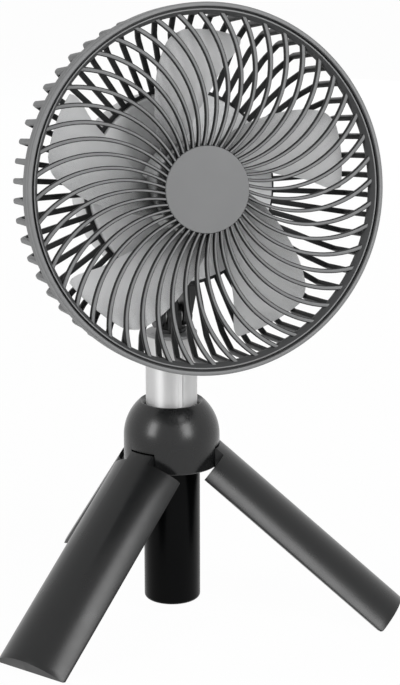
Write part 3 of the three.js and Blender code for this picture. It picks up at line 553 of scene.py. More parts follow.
# A material's nodes, with the few links that the finishes here need.
class Surface:
    def __init__(self, name):
        self.material = bpy.data.materials.new(name)
        self.material.use_nodes = True
        self.tree = self.material.node_tree
        self.shader = self.tree.nodes["Principled BSDF"]
        self.coordinates = self.tree.nodes.new("ShaderNodeTexCoord")

    def noise(self, scale, detail=3, stretch=(1, 1, 1)):
        mapping = self.tree.nodes.new("ShaderNodeMapping")
        mapping.inputs["Scale"].default_value = stretch
        self.tree.links.new(self.coordinates.outputs["Object"], mapping.inputs["Vector"])
        node = self.tree.nodes.new("ShaderNodeTexNoise")
        node.inputs["Scale"].default_value = scale
        node.inputs["Detail"].default_value = detail
        self.tree.links.new(mapping.outputs["Vector"], node.inputs["Vector"])
        return node.outputs["Fac"]

    def ramp(self, source, dark, light):
        node = self.tree.nodes.new("ShaderNodeValToRGB")
        for element, place, colour in zip(node.color_ramp.elements, SHADE_RANGE, (dark, light)):
            element.position = place
            element.color = (*colour, 1)
        self.tree.links.new(source, node.inputs["Fac"])
        return node.outputs["Color"]

    def around(self, source, middle, reach):
        node = self.tree.nodes.new("ShaderNodeMapRange")
        node.inputs["To Min"].default_value = middle - reach
        node.inputs["To Max"].default_value = middle + reach
        self.tree.links.new(source, node.inputs["Value"])
        return node.outputs["Result"]

    def bump(self, source, strength, distance):
        node = self.tree.nodes.new("ShaderNodeBump")
        node.inputs["Strength"].default_value = strength
        node.inputs["Distance"].default_value = distance * MM
        self.tree.links.new(source, node.inputs["Height"])
        self.tree.links.new(node.outputs["Normal"], self.shader.inputs["Normal"])

    def link(self, source, socket):
        self.tree.links.new(source, self.shader.inputs[socket])

    def put(self, value, socket):
        if isinstance(value, bpy.types.NodeSocket):
            self.tree.links.new(value, socket)
        else:
            socket.default_value = value

    def number(self, operation, *values):
        node = self.tree.nodes.new("ShaderNodeMath")
        node.operation = operation
        for socket, value in zip(node.inputs, values):
            self.put(value, socket)
        return node.outputs["Value"]

    def vector(self, operation, *values):
        node = self.tree.nodes.new("ShaderNodeVectorMath")
        node.operation = operation
        for socket, value in zip(node.inputs, values):
            self.put(value, socket)
        return node.outputs

    def dot(self, a, b):
        return self.vector("DOT_PRODUCT", a, b)["Value"]

    # Rises smoothly from 0 to 1 while the source goes from low to high.
    def step(self, source, low, high):
        node = self.tree.nodes.new("ShaderNodeMapRange")
        node.interpolation_type = "SMOOTHSTEP"
        node.inputs["From Min"].default_value = low
        node.inputs["From Max"].default_value = high
        self.tree.links.new(source, node.inputs["Value"])
        return node.outputs["Result"]

    def mixed(self, share, a, b):
        node = self.tree.nodes.new("ShaderNodeMix")
        node.data_type = "RGBA"
        self.tree.links.new(share, node.inputs["Factor"])
        self.put(a, node.inputs["A"])
        self.put(b, node.inputs["B"])
        return node.outputs["Result"]

    # How far the surface faces along the head's axis, in the part's own space.
    def forward(self):
        return self.dot(self.coordinates.outputs["Normal"], HEAD_AXIS)

    # The point's place seen from the middle of the front ring.
    def place(self):
        middle = tuple(HEAD.translation)
        return self.vector("SUBTRACT", self.coordinates.outputs["Object"], middle)["Vector"]

    # The point's distance from the head's axis.
    def reach(self):
        cross = self.vector("CROSS_PRODUCT", self.place(), HEAD_AXIS)["Vector"]
        return self.vector("LENGTH", cross)["Value"]

    # How far the surface faces away from the head's axis, 1 on the outside of the front ring.
    def outward(self):
        place = self.place()
        depth = self.dot(place, HEAD_AXIS)
        across = self.dot(self.coordinates.outputs["Normal"], place)
        level = self.number("SUBTRACT", across, self.number("MULTIPLY", depth, self.forward()))
        return self.number("DIVIDE", level, RING_RADIUS * MM)

    # 1 in the open and less in a corner or between close walls. The shares below paint shade where
    # it is low.
    def openness(self, distance):
        node = self.tree.nodes.new("ShaderNodeAmbientOcclusion")
        node.samples = OPENNESS_SAMPLES
        node.inputs["Distance"].default_value = distance * MM
        return node.outputs["AO"]


def neutral(grey):
    return linear(grey), linear(grey), linear(grey)


def cool(grey):
    return linear(grey - COOLNESS), linear(grey), linear(grey + COOLNESS)


# Moulded plastic: faint cloudy shade, a fine spark-eroded grain and uneven gloss.
# Where a share is given, light and shade are painted in: what the share leaves out has the painted
# shade grey.
def moulded(name, grey, roughness, grain=0.012, shade=3, specular=0.5, share=None, painted_shade_grey=0):
    surface = Surface(name)
    cloud = surface.noise(CLOUD_SCALE, detail=4)
    colour = surface.ramp(cloud, cool(grey - shade), cool(grey + shade))
    if share:
        colour = surface.mixed(share(surface), (*cool(painted_shade_grey), 1), colour)
    surface.link(colour, "Base Color")
    gloss = surface.noise(GLOSS_SCALE)
    surface.link(surface.around(gloss, roughness, GLOSS_SPREAD), "Roughness")
    surface.bump(surface.noise(GRAIN_SCALE, detail=2), GRAIN_STRENGTH, grain)
    surface.shader.inputs["Specular IOR Level"].default_value = specular
    return surface.material


# Metal with fine lines along one axis. A brushed one spreads its lights around that axis.
def lined_metal(name, grey, roughness, stretch, metallic=1.0, brushed=0):
    surface = Surface(name)
    lines = surface.noise(LINE_SCALE, detail=5, stretch=stretch)
    colour = surface.ramp(lines, neutral(grey - LINE_SHADE), neutral(grey + LINE_SHADE))
    surface.link(colour, "Base Color")
    surface.link(surface.around(lines, roughness, GLOSS_SPREAD), "Roughness")
    surface.bump(lines, LINE_STRENGTH, LINE_DEPTH)
    surface.shader.inputs["Metallic"].default_value = metallic
    if brushed:
        tangent = surface.tree.nodes.new("ShaderNodeTangent")
        tangent.direction_type = "RADIAL"
        tangent.axis = "Z"
        surface.link(tangent.outputs["Tangent"], "Tangent")
        surface.shader.inputs["Anisotropic"].default_value = brushed
        surface.shader.inputs["Anisotropic Rotation"].default_value = ACROSS_TANGENT
    return surface.material


# Plain cloudy colour with a fine grain.
def coloured(name, dark, light, roughness, scale=60, metallic=0.0):
    surface = Surface(name)
    cloud = surface.noise(scale, detail=4)
    surface.link(surface.ramp(cloud, dark, light), "Base Color")
    gloss = surface.noise(FILM_GLOSS_SCALE)
    surface.link(surface.around(gloss, roughness, FILM_GLOSS_SPREAD), "Roughness")
    grain = surface.noise(FILM_GRAIN_SCALE, detail=2)
    surface.bump(grain, FILM_GRAIN_STRENGTH, FILM_GRAIN)
    surface.shader.inputs["Metallic"].default_value = metallic
    return surface.material


# Painted light on the fins' ridges, painted shade on their flanks and where they stand close to
# other parts.
def fin_painted_light_and_shade(surface):
    ridge = surface.step(surface.forward(), *FIN_RIDGE)
    lit = surface.number("MULTIPLY_ADD", ridge, 1 - FIN_FLANK_SHARE, FIN_FLANK_SHARE)
    clear = surface.step(surface.openness(FIN_OPENNESS), *FIN_OPEN)
    return surface.number("MULTIPLY", lit, clear)


# Painted light on the ring's front and outside, painted shade in its groove, on its inside and in
# tight corners.
def ring_painted_light_and_shade(surface):
    front = surface.step(surface.forward(), *RING_FRONT)
    lit = surface.number("MAXIMUM", front, surface.step(surface.outward(), *RING_SIDE))
    clear = surface.step(surface.openness(RING_OPENNESS), *RING_OPEN)
    return surface.number("MULTIPLY", lit, clear)


# Painted light on the ribs' back, outside and outer flanks, painted shade on their faces toward
# the blades.
def cage_painted_light_and_shade(surface):
    back = surface.step(surface.number("MULTIPLY", surface.forward(), -1), *CAGE_BACK)
    side = surface.step(surface.outward(), *CAGE_SIDE)
    outside = surface.step(surface.reach(), *(reach * MM for reach in CAGE_OUTSIDE))
    flank = surface.number("MULTIPLY", surface.step(surface.outward(), *CAGE_FLANK), outside)
    return surface.number("MAXIMUM", surface.number("MAXIMUM", back, side), flank)


# Painted shade in corners and deep inside, none in the open.
def depth_painted_shade(surface):
    return surface.step(surface.openness(PALE_OPENNESS), *PALE_OPEN)


# FIN, GRILLE, REAR and PALE carry painted light and painted shade: lighter fronts, ridges and
# outsides, darker flanks, grooves, insides and corners.
FIN = moulded("fin_grey", 126, 0.5, specular=0.08, share=fin_painted_light_and_shade, painted_shade_grey=6)
GRILLE = moulded("grille_grey", 130, 0.45, specular=0.15, share=ring_painted_light_and_shade, painted_shade_grey=72)
REAR = moulded("rear_grille_grey", 130, 0.5, specular=0.1, share=cage_painted_light_and_shade, painted_shade_grey=48)
PLATE = moulded("plate_grey", 122, 0.5, shade=2, specular=0.15)
PALE = moulded("pale_grey", 226, 0.5, shade=2, specular=0.2, share=depth_painted_shade, painted_shade_grey=60)
STAND = moulded("stand_charcoal", 18, 0.29, grain=0.008, shade=2, specular=0.36)
LEG_END = moulded("leg_end_charcoal", 20, 0.4, grain=0.008, shade=2, specular=0.15)
HUB = moulded("hub_charcoal", 22, 0.27, grain=0.008, shade=2, specular=0.45)
SLEEVE = moulded("sleeve_gloss_black", 3, 0.25, grain=0.002, shade=1, specular=0.07)
DARK = moulded("joint_black", 30, 0.45, shade=2)
CAP = moulded("cap_grey", 150, 0.4, shade=2)
MAST_METAL = lined_metal(
    "mast_satin_aluminium", 214, 0.6, (1, 1, 0.04), metallic=0.8, brushed=0.76
)
STEEL = lined_metal("plain_steel", 150, 0.34, (1, 1, 0.3))
BRASS = coloured("turned_brass", (0.40, 0.27, 0.08), (0.55, 0.38, 0.12), 0.35, metallic=1.0)
MAGNET = moulded("sintered_magnet", 54, 0.6, grain=0.03)
CELL = coloured("cell_film", (0.03, 0.13, 0.34), (0.05, 0.18, 0.44), 0.4)
BOARD = coloured("board_green", (0.008, 0.09, 0.035), (0.016, 0.13, 0.05), 0.42, scale=300)
LENS = coloured("lens_clear", (0.62, 0.7, 0.74), (0.74, 0.82, 0.86), 0.15)


def dressed(obj, material, body, *nodes):
    obj.data.materials.clear()
    obj.data.materials.append(material)
    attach(obj, body)
    if nodes:
        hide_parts(*nodes)
    return obj


# Front grille

def make_front_ring():
    bead_inner = RING_RADIUS - BEAD_WIDTH
    ridge = bead_inner - RING_GROOVE
    slope_top = ridge - RIDGE_WIDTH
    inner = slope_top - SLOPE_WIDTH
    ring = turned_piece("grille_ring", rounded([
        (inner, -RING_UNDER),
        (inner, -INNER_DROP, ROUND_EDGE),
        (slope_top, SLOPE_TOP, FINE_EDGE),
        (ridge, SLOPE_TOP, FINE_EDGE),
        (ridge, GROOVE_FLOOR),
        (bead_inner, GROOVE_FLOOR),
        (bead_inner, BEAD_RISE, BEAD_INNER_EDGE),
        (RING_RADIUS, BEAD_RISE, BEAD_OUTER_EDGE),
        (RING_RADIUS, -RING_BACK, FINE_EDGE),
        (LIP_RADIUS, -RING_BACK),
        (LIP_RADIUS, -RING_UNDER, FINE_EDGE),
    ]), HEAD, RING_SEGMENTS)
    dressed(ring, GRILLE, "head")
    return inner


# The turn about a fin's own centre that brings it to a radius of the grille.
def spoke_angle(radius):
    squares = SPOKE_ARC_OFFSET ** 2 + SPOKE_ARC ** 2 - radius ** 2
    return math.acos(squares / (2 * SPOKE_ARC_OFFSET * SPOKE_ARC))


def spoke_section(top, width):
    half = width / 2
    foot = half * SPOKE_BOTTOM_SHARE
    crown = []
    for i in range(SPOKE_CROWN_STEPS + 1):
        angle = math.pi * i / SPOKE_CROWN_STEPS
        crown.append((half * math.cos(angle), top - SPOKE_CROWN + SPOKE_CROWN * math.sin(angle)))
    return [(-foot, SPOKE_BOTTOM), (foot, SPOKE_BOTTOM), *crown]


def spoke(bm, turn, ring_inner):
    bearing = SPOKE_TURN + turn
    centre = polar(SPOKE_ARC_OFFSET, bearing)
    toward = bearing + math.pi
    root = PLATE_RADIUS + GAP / 2
    stations = [(root - SPOKE_WIDTH, SEAT_TOP, 0), (root, SEAT_TOP, 0), (root, -SPOKE_DROP, 0)]
    tip = ring_inner + SPOKE_INSET
    for i in range(1, SPOKE_STEPS + 1):
        share = i / SPOKE_STEPS
        stations.append((root + (tip - root) * share, -SPOKE_DROP, share))
    rows = []
    for radius, top, share in stations:
        angle = toward + spoke_angle(radius)
        row = []
        for across, height in spoke_section(top, SPOKE_WIDTH + SPOKE_FLARE * share):
            x, y = polar(SPOKE_ARC + across, angle)
            row.append((centre[0] + x, centre[1] + y, height))
        rows.append(row)
    skinned(bm, rows)


def make_front_grille():
    inner = make_front_ring()
    bm = bmesh.new()
    seat = [(0, SPOKE_BOTTOM), (SEAT_RADIUS, SPOKE_BOTTOM), (SEAT_RADIUS, SEAT_TOP), (0, SEAT_TOP)]
    turned(bm, seat, SMALL_SEGMENTS)
    for i in range(SPOKES):
        spoke(bm, 2 * math.pi * i / SPOKES, inner)
    grille = finished("grille_front", bm, HEAD, FIN_CORNER_ANGLE)
    dressed(grille, FIN, "head", "front_grille")
    plate = rounded([
        (0, -PLATE_DROP - PLATE_THICKNESS),
        (PLATE_RADIUS, -PLATE_DROP - PLATE_THICKNESS),
        (PLATE_RADIUS, -PLATE_DROP, PLATE_EDGE),
        (0, -PLATE_DROP),
    ])
    dressed(turned_piece("plate_centre", plate, HEAD), PLATE, "head", "centre_plate")


# Rear grille

def rib_path():
    ring = HOUSING_RADIUS + GAP + RIB_RING_WIDTH / 2
    return rounded([
        (RIB_START_RADIUS, -RIB_START_DEPTH),
        (RIB_SIDE_RADIUS, -RIB_SIDE_DEPTH, RIB_BEND),
        (RIB_SHOULDER_RADIUS, -RIB_SHOULDER_DEPTH, RIB_BEND),
        (RIB_HIP_RADIUS, -RIB_HIP_DEPTH, RIB_HIP_BEND),
        (ring, -RIB_END_DEPTH),
    ], steps=8, closed=False)


def make_rear_grille():
    bm = bmesh.new()
    outline = ribbon(rib_path(), -RIB_THICKNESS)
    for i in range(RIBS):
        turn = 2 * math.pi * i / RIBS + RIB_TURN
        place = Matrix.Rotation(turn, 4, "Z") @ UPRIGHT
        prism(bm, outline, -RIB_WIDTH / 2, RIB_WIDTH / 2, place)
    ribs = finished("grille_rear", bm, HEAD)
    edged(ribs, RIB_EDGE)
    bm = bmesh.new()
    front = -RING_BACK - GAP
    inner = BAND_RADIUS - BAND_THICKNESS
    turned(bm, rounded([
        (inner, front),
        (BAND_RADIUS, front, SOFT_EDGE),
        (BAND_RADIUS, front - BAND_DEPTH, BAND_EDGE),
        (inner, front - BAND_DEPTH, SOFT_EDGE),
    ]), RING_SEGMENTS)
    ring = HOUSING_RADIUS + GAP
    back = -RIB_RING_FRONT - RIB_RING_DEPTH
    turned(bm, rounded([
        (ring, back, FINE_EDGE),
        (ring + RIB_RING_WIDTH, back, RIB_RING_EDGE),
        (ring + RIB_RING_WIDTH, -RIB_RING_FRONT, RIB_RING_EDGE),
        (ring, -RIB_RING_FRONT, FINE_EDGE),
    ]), DRUM_SEGMENTS)
    rings = finished("grille_rear_rings", bm, HEAD)
    dressed(ribs, REAR, "head", "rear_grille")
    dressed(rings, REAR, "head")


# Impeller

# A smooth curve through values at rising positions, read at one position.
def through(values, positions, at):
    last = len(values) - 1
    i = 0
    while i < last - 1 and at > positions[i + 1]:
        i += 1
    span = positions[i + 1] - positions[i]
    t = (at - positions[i]) / span
    slopes = []
    for k in (i, i + 1):
        low, high = max(k - 1, 0), min(k + 1, last)
        slopes.append((values[high] - values[low]) / (positions[high] - positions[low]) * span)
    a, b = values[i], values[i + 1]
    return (
        a * (2 * t ** 3 - 3 * t ** 2 + 1) + slopes[0] * (t ** 3 - 2 * t ** 2 + t)
        + b * (3 * t ** 2 - 2 * t ** 3) + slopes[1] * (t ** 3 - t ** 2)
    )


def blade(bm, turn):
    rings = []
    for r in range(BLADE_ROWS + 1):
        share = 1 - (1 - r / BLADE_ROWS) ** BLADE_ROW_POWER
        radius = BLADE_ROOT + share * (BLADE_TIP - BLADE_ROOT)
        lead = through(BLADE_LEAD_DEGREES, BLADE_RADIUS_SHARES, share)
        trail = through(BLADE_TRAIL_DEGREES, BLADE_RADIUS_SHARES, share)
        lead_depth = BLADE_LEAD_DEPTH + BLADE_ROOT_TWIST * (1 - share)
        front, back = [], []
        for c in range(BLADE_COLUMNS + 1):
            along = c / BLADE_COLUMNS
            degrees = lead + (trail - lead) * along
            depth = lead_depth + (BLADE_TRAIL_DEPTH - lead_depth) * along
            edge = min(along, 1 - along, (1 - share) * BLADE_TIP_TAPER) * BLADE_COLUMNS
            full = math.sqrt(max(edge, 0)) * (1 - BLADE_EDGE_SHARE) + BLADE_EDGE_SHARE
            half = BLADE_THICKNESS / 2 * min(1, full)
            x, y = polar(radius, turn + math.radians(degrees + BLADE_TURN))
            front.append((x, y, -depth + half))
            back.append((x, y, -depth - half))
        rings.append(front + back[::-1])
    skinned(bm, rings)


def make_impeller():
    bm = bmesh.new()
    wall = IMPELLER_HUB - IMPELLER_WALL
    inside = -IMPELLER_HUB_FRONT - IMPELLER_FRONT_WALL
    turned(bm, rounded([
        (0, -IMPELLER_HUB_FRONT),
        (IMPELLER_HUB, -IMPELLER_HUB_FRONT, IMPELLER_EDGE),
        (IMPELLER_HUB, -IMPELLER_HUB_BACK, SOFT_EDGE),
        (wall, -IMPELLER_HUB_BACK, SOFT_EDGE),
        (wall, inside, ROUND_EDGE),
        (0, inside),
    ]), DRUM_SEGMENTS)
    for i in range(BLADES):
        blade(bm, 2 * math.pi * i / BLADES)
    impeller = finished("impeller_moulding", bm, HEAD, MOULDED_CORNER_ANGLE)
    dressed(impeller, PALE, "spinner", "impeller")


# Housing and cover

def make_housing():
    shell = turned_piece("housing_shell", rounded([
        (0, -HOUSING_FRONT),
        (HOUSING_RADIUS, -HOUSING_FRONT, HOUSING_EDGE),
        (HOUSING_RADIUS, -HOUSING_BACK, SOFT_EDGE),
        (HOUSING_RADIUS - HOUSING_WALL, -HOUSING_BACK),
        (HOUSING_RADIUS - HOUSING_WALL, -HOUSING_FRONT - HOUSING_WALL, HOUSING_EDGE),
        (0, -HOUSING_FRONT - HOUSING_WALL),
    ]), HEAD)
    dressed(shell, PALE, "head", "rear_housing")


def boss_places():
    return [polar(BOSS_CIRCLE, 2 * math.pi * (i + 0.5) / BOSSES) for i in range(BOSSES)]


def stadium(width, height):
    radius = height / 2
    reach = width / 2 - radius
    return (
        arc((reach, 0), radius, -math.pi / 2, math.pi / 2, 10)
        + arc((-reach, 0), radius, math.pi / 2, 3 * math.pi / 2, 10)
    )


def make_cover():
    cover = turned_piece("cover_rear", rounded([
        (0, COVER_FRONT),
        (HOUSING_RADIUS, COVER_FRONT, SOFT_EDGE),
        (HOUSING_RADIUS, COVER_BACK, COVER_EDGE),
        (0, COVER_BACK),
    ]), HEAD)
    outside = COVER_BACK - OVERRUN
    floor = COVER_BACK + SCREW_HEAD_HEIGHT + GAP
    recess = SCREW_HEAD_RADIUS + GAP
    outline = [(0, outside), (recess, outside), (recess, floor), (0, floor)]
    cutters = []
    for i, (x, y) in enumerate(boss_places()):
        cutters.append(turned_piece(f"recess_{i}", outline, on_head(x, y), HOLE_SEGMENTS))
    socket = stadium(SOCKET_WIDTH + 2 * GAP, SOCKET_HEIGHT + 2 * GAP)
    openings = {
        "button_hole": circle((0, BUTTON_OFFSET), BUTTON_RADIUS + GAP, 2 * HOLE_SEGMENTS),
        "lens_hole": circle((0, LENS_OFFSET), LENS_RADIUS + GAP, HOLE_SEGMENTS),
        "socket_hole": [(x, y - SOCKET_OFFSET) for x, y in socket],
    }
    for name, outline in openings.items():
        cutters.append(prism_piece(name, outline, outside, COVER_FRONT + OVERRUN, HEAD))
    combined(cover, cutters, "DIFFERENCE")
    edged(cover, COVER_HOLE_EDGE)
    dressed(cover, PALE, "head", "rear_cover")


def make_button():
    top = COVER_BACK - BUTTON_PROUD
    flange = -HOUSING_BACK + BUTTON_FLANGE
    stem = -HOUSING_BACK + BUTTON_STEM
    button = turned_piece("button_power", rounded([
        (0, top + BUTTON_DISH),
        (BUTTON_DISH_FLOOR_RADIUS, top + BUTTON_DISH_SLOPE, BUTTON_DISH_FLOOR_EDGE),
        (BUTTON_DISH_RADIUS, top, BUTTON_DISH_EDGE),
        (BUTTON_RADIUS, top, ROUND_EDGE),
        (BUTTON_RADIUS, -HOUSING_BACK),
        (BUTTON_FLANGE_RADIUS, -HOUSING_BACK),
        (BUTTON_FLANGE_RADIUS, flange, FINE_EDGE),
        (BUTTON_STEM_RADIUS, flange),
        (BUTTON_STEM_RADIUS, stem),
        (0, stem),
    ]), on_head(0, BUTTON_OFFSET), SMALL_SEGMENTS)
    dressed(button, DARK, "button", "power_button")


# A screw with a crossed recess, its head toward -Z of the matrix.
def cross_screw(name, matrix):
    tip = SCREW_HEAD_HEIGHT + SCREW_LENGTH
    screw = turned_piece(name, rounded([
        (0, 0),
        (SCREW_HEAD_RADIUS, 0, SCREW_HEAD_EDGE),
        (SCREW_HEAD_RADIUS, SCREW_HEAD_HEIGHT, SCREW_SEAT_EDGE),
        (SCREW_RADIUS, SCREW_HEAD_HEIGHT),
        (SCREW_RADIUS, tip, FINE_EDGE),
        (0, tip),
    ], steps=4), matrix, SCREW_SEGMENTS)
    length = SCREW_HEAD_RADIUS * CROSS_LENGTH_SHARE
    depth = SCREW_HEAD_HEIGHT * CROSS_DEPTH_SHARE
    arms = []
    for turn in CROSS_TURNS:
        place = matrix @ Matrix.Rotation(math.radians(turn), 4, "Z")
        arms.append(box_piece(f"{name}_arm_{turn}", CROSS_WIDTH, length, -OVERRUN, depth, place))
    combined(screw, arms, "DIFFERENCE")
    smoothed(screw, MOULDED_CORNER_ANGLE)
    return screw


def make_cover_screws():
    for i, (x, y) in enumerate(boss_places(), 1):
        screw = cross_screw(f"screw_cover_{i}", on_head(x, y, COVER_BACK))
        dressed(screw, STEEL, "head", f"cover_screw_{i}")


# Mast

def make_mast():
    low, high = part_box("mast_tube")
    bottom, top = low.z / MM, high.z / MM
    inner = MAST_RADIUS - MAST_WALL
    collar_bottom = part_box("hub_collar")[0].z / MM
    groove_bottom = collar_bottom - MAST_TRAVEL - GAP
    half = math.asin(GROOVE_WIDTH / 2 / MAST_RADIUS)
    lip = math.asin((GROOVE_WIDTH / 2 + GROOVE_LIP) / MAST_RADIUS)
    floor = MAST_RADIUS - GROOVE_DEPTH
    start, end = GROOVE_TURN + lip, GROOVE_TURN - lip + 2 * math.pi
    outside = arc((0, 0), MAST_RADIUS, start, end, MAST_SEGMENTS)
    shoulder = MAST_RADIUS - GROOVE_LIP / 2
    notch = [
        polar(shoulder, GROOVE_TURN - half),
        polar(floor, GROOVE_TURN - half),
        polar(floor, GROOVE_TURN + half),
        polar(shoulder, GROOVE_TURN + half),
    ]
    bm = bmesh.new()
    prism(bm, outside + notch, groove_bottom - GAP, top)
    grooved = finished("tube_mast", bm, MAST)
    outline = circle((0, 0), MAST_RADIUS, MAST_SEGMENTS, start)
    combined(grooved, [prism_piece("plain_end", outline, bottom, groove_bottom, MAST)], "UNION")
    outline = circle((0, 0), inner, SMALL_SEGMENTS)
    bore = prism_piece("mast_bore", outline, bottom - OVERRUN, top + OVERRUN, MAST)
    combined(grooved, [bore], "DIFFERENCE")
    smoothed(grooved, GROOVE_CORNER_ANGLE)
    dressed(grooved, MAST_METAL, "mast", "mast_tube")


def make_cap():
    low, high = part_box("mast_cap")
    top = high.z / MM
    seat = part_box("mast_tube")[1].z / MM + GAP
    plug = MAST_RADIUS - MAST_WALL - GAP
    cap = turned_piece("cap_mast", rounded([
        (0, low.z / MM),
        (plug, low.z / MM, CAP_PLUG_EDGE),
        (plug, seat),
        (MAST_RADIUS, seat, CAP_SEAT_EDGE),
        (MAST_RADIUS, top, ROUND_EDGE),
        (0, top),
    ]), MAST)
    dressed(cap, CAP, "mast", "mast_cap")


# Stand

def make_sleeve():
    low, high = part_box("mast_sleeve")
    bottom, top = low.z / MM, high.z / MM
    inner = SLEEVE_RADIUS - SLEEVE_WALL
    sleeve = turned_piece("sleeve_column", rounded([
        (0, bottom),
        (SLEEVE_RADIUS, bottom, SLEEVE_FILLET),
        (SLEEVE_RADIUS, top, FINE_EDGE),
        (inner, top),
        (inner, bottom + SLEEVE_FLOOR, ROUND_EDGE),
        (0, bottom + SLEEVE_FLOOR),
    ], steps=8), MAST)
    dressed(sleeve, SLEEVE, "base", "mast_sleeve")


def make_hub():
    skirt = PIN_HEIGHT - HUB_PIN_RISE
    centre = skirt + HUB_SKIRT
    end = math.acos(HUB_RIM_RADIUS / HUB_RADIUS)
    rim = centre + HUB_RADIUS * math.sin(end)
    dish = rim - HUB_DISH
    bore = SLEEVE_RADIUS + GAP
    throat = MAST_RADIUS + GAP
    dome = [(x, centre + y) for x, y in arc((0, 0), HUB_RADIUS, 0, end, HUB_STEPS)]
    base = rounded([
        (bore, skirt, HUB_BORE_EDGE),
        (HUB_RADIUS, skirt, HUB_SKIRT_EDGE),
        (HUB_RADIUS, centre),
    ], closed=False)[:-1]
    rim_lip = rounded([dome[-2], (*dome[-1], HUB_RIM_EDGE), (throat, dish)], closed=False)[1:-1]
    opening = [(throat, dish), (throat, dish - HUB_LIP), (bore, dish - HUB_LIP)]
    hub = turned_piece("hub_dome", base + dome[:-1] + rim_lip + opening, MAST)
    near, far = bore / 2, bore / 2 + HUB_RADIUS
    low, high = skirt - OVERRUN, PIN_HEIGHT + SLOT_RISE
    outline = [(near, low), (far, low), (far, high), (near, high)]
    slots = []
    for name in LEGS:
        place = columns(*leg_axes(name), UP, MAST.translation) @ UPRIGHT
        slots.append(prism_piece(f"slot_{name}", outline, -SLOT_WIDTH / 2, SLOT_WIDTH / 2, place))
    combined(hub, slots, "DIFFERENCE")
    edged(hub, SOFT_EDGE)
    dressed(hub, HUB, "base", "leg_hub")


def leg_arc(radius):
    return arc((-PIN_OFFSET, 0), radius, -LEG_HALF_ANGLE, LEG_HALF_ANGLE, LEG_STEPS)


def tongue_outline():
    outer = LEG_RADIUS - PIN_OFFSET
    start = math.pi + math.acos(TONGUE_BACK / KNUCKLE_RADIUS)
    front = rounded([
        (0, KNUCKLE_RADIUS),
        (outer, -TONGUE_START, TONGUE_FRONT_EDGE),
        (outer, -TONGUE_ROOT),
        (outer - LEG_WALL, -TONGUE_ROOT),
        (-TONGUE_BACK, -TONGUE_DROP, TONGUE_BACK_EDGE),
        (-TONGUE_BACK, -TONGUE_HEEL),
    ], steps=6, closed=False)
    return front[:-1] + arc((0, 0), KNUCKLE_RADIUS, start, math.pi / 2, 16)[:-1]


# One leg with its pin at the origin, hanging along -Z with its round side toward +X.
def leg_blank():
    flat = Matrix()
    sideways = Matrix.Rotation(math.pi / 2, 4, "Z") @ UPRIGHT
    sector = leg_arc(LEG_RADIUS)
    end, shoulder = -LEG_LENGTH, -LEG_SHOULDER
    wall = sector + leg_arc(LEG_RADIUS - LEG_WALL)[::-1]
    shell = prism_piece("leg_blank", wall, end, shoulder, flat)
    combined(shell, [prism_piece("leg_end", sector, end, end + LEG_END_WALL, flat)], "UNION")
    half = LEG_RADIUS * math.sin(LEG_HALF_ANGLE)
    corners = [(-half, end), (half, end), (half, shoulder), (-half, shoulder)]
    window = rounded([(*corner, LEG_CORNER) for corner in corners], steps=8)
    cutter = prism_piece("leg_window", window, -LEG_RADIUS, LEG_RADIUS, sideways)
    combined(shell, [cutter], "INTERSECT")
    half = TONGUE_WIDTH / 2
    tongue = prism_piece("leg_tongue", tongue_outline(), -half, half, UPRIGHT)
    low, high = -TONGUE_ROOT - OVERRUN, KNUCKLE_RADIUS + OVERRUN
    combined(tongue, [prism_piece("tongue_round", sector, low, high, flat)], "INTERSECT")
    combined(shell, [tongue], "UNION")
    chord_to_pin = LEG_RADIUS * math.cos(LEG_HALF_ANGLE) - PIN_OFFSET
    edge = LEG_LENGTH * math.sin(LEG_SPLAY) + chord_to_pin * math.cos(LEG_SPLAY)
    below = Matrix.Translation((edge * MM, 0, -PIN_HEIGHT * MM))
    ground = Matrix.Rotation(LEG_SPLAY, 4, "Y") @ below
    size = 2 * LEG_RADIUS
    combined(shell, [box_piece("ground", size, size, -size, 0, ground)], "DIFFERENCE")
    edged(shell, LEG_EDGE, segments=3, angle=CORNER_ANGLE)
    return shell


def make_legs():
    blank = leg_blank()
    for name, matrix in LEGS.items():
        leg = bpy.data.objects.new(f"shell_leg_{name}", blank.data.copy())
        scene.collection.objects.link(leg)
        leg.data.transform(matrix)
        dressed(leg, STAND, f"{name}_leg", f"leg_{name}")
        leg.data.materials.append(LEG_END)
        along = matrix.col[2].xyz
        for face in leg.data.polygons:
            face.material_index = int(face.normal.dot(along) < LEG_END_FACING)
    bpy.data.objects.remove(blank)


# Nodes that no piece here replaces keep their solids and get a finish.

def finish_nodes():
    finishes = {
        STEEL: ["charge_socket", "front_bearing", "rear_bearing", "rotor_ring", "motor_shaft",
                "shaft_clip", "yoke_screw_1", "yoke_screw_2", "tilt_washer_1", "tilt_washer_2",
                "tilt_pin", "leg_pin_back", "leg_pin_left", "leg_pin_right",
                "motor_screw_1", "motor_screw_2", "motor_screw_3"],
        BRASS: ["bearing_tube", "motor_stator"],
        MAGNET: ["magnet_ring"],
        CELL: ["battery_cell_1", "battery_cell_2"],
        BOARD: ["control_board"],
        LENS: ["indicator_lens"],
        DARK: ["tilt_yoke", "tilt_knuckle", "cap_screw_1", "cap_screw_2", "mast_foot",
               "hub_collar"],
    }
    for material, names in finishes.items():
        for name in names:
            for slot in frame["nodes"][name].material_slots:
                slot.material = material


# Studio

# 1 for a ray from the camera, by a mirror or through clear stuff too, and 0 for diffuse light.
def seen_ray(tree):
    path = tree.nodes.new("ShaderNodeLightPath")
    result = path.outputs["Is Camera Ray"]
    for name in ("Is Glossy Ray", "Is Transmission Ray"):
        either = tree.nodes.new("ShaderNodeMath")
        either.operation = "MAXIMUM"
        tree.links.new(result, either.inputs[0])
        tree.links.new(path.outputs[name], either.inputs[1])
        result = either.outputs[0]
    return result


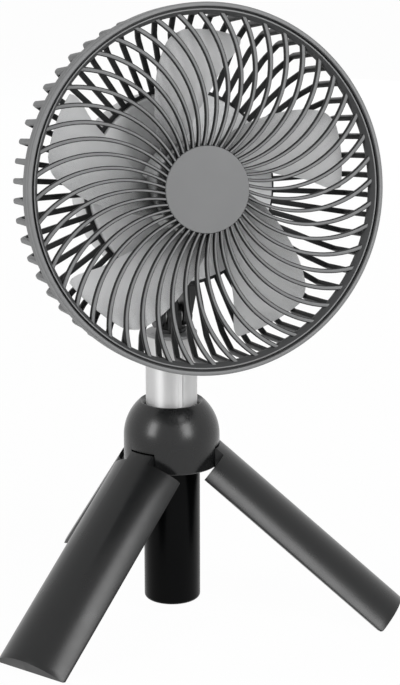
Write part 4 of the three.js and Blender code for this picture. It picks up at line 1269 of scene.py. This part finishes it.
def make_floor():
    bm = bmesh.new()
    bmesh.ops.create_grid(bm, x_segments=1, y_segments=1, size=FLOOR_REACH / MM)
    floor = finished("floor", bm, Matrix())
    material = bpy.data.materials.new("floor_white")
    material.use_nodes = True
    tree = material.node_tree
    tree.nodes.clear()
    output = tree.nodes.new("ShaderNodeOutputMaterial")
    plain = tree.nodes.new("ShaderNodeBsdfDiffuse")
    plain.inputs["Color"].default_value = (FLOOR_GREY, FLOOR_GREY, FLOOR_GREY, 1)
    glow = tree.nodes.new("ShaderNodeEmission")
    share = tree.nodes.new("ShaderNodeMath")
    share.operation = "MULTIPLY"
    share.inputs[1].default_value = FLOOR_GLOW
    mix = tree.nodes.new("ShaderNodeMixShader")
    tree.links.new(seen_ray(tree), share.inputs[0])
    tree.links.new(share.outputs[0], mix.inputs["Fac"])
    tree.links.new(plain.outputs[0], mix.inputs[1])
    tree.links.new(glow.outputs[0], mix.inputs[2])
    tree.links.new(mix.outputs[0], output.inputs["Surface"])
    floor.data.materials.append(material)


def make_world():
    world = bpy.data.worlds.new("studio")
    world.use_nodes = True
    scene.world = world
    tree = world.node_tree
    background = tree.nodes["Background"]
    strength = tree.nodes.new("ShaderNodeMapRange")
    strength.inputs["To Min"].default_value = WORLD_LIGHT
    strength.inputs["To Max"].default_value = 1
    background.inputs["Color"].default_value = (1, 1, 1, 1)
    tree.links.new(seen_ray(tree), strength.inputs["Value"])
    tree.links.new(strength.outputs["Result"], background.inputs["Strength"])


# The side is where the camera sees the lamp: right, up and back toward the camera.
def softbox(name, side, distance, width, height, power):
    data = bpy.data.lights.new(name, "AREA")
    data.shape = "RECTANGLE"
    data.size = width
    data.size_y = height
    data.energy = power
    light = bpy.data.objects.new(name, data)
    scene.collection.objects.link(light)
    direction = (camera.matrix_world.to_3x3() @ Vector(side)).normalized()
    light.location = MAST.translation + UP * LAMP_AIM + direction * distance
    light.rotation_euler = direction.to_track_quat("Z", "Y").to_euler()
    return light


make_front_grille()
make_rear_grille()
make_impeller()
make_housing()
make_cover()
make_cover_screws()
make_button()
make_mast()
make_cap()
make_sleeve()
make_hub()
make_legs()
finish_nodes()
make_floor()
make_world()
softbox("softbox_left", (-0.719, 0.167, 0.674), distance=1.3, width=0.42, height=0.7, power=7.2)
softbox("softbox_right", (0.57, 0.31, 0.77), distance=1.3, width=0.46, height=1.2, power=13.4)
behind = softbox("softbox_back", (0.3, 0.4, -0.87), distance=1.6, width=0.9, height=0.9, power=14)
behind.visible_glossy = False
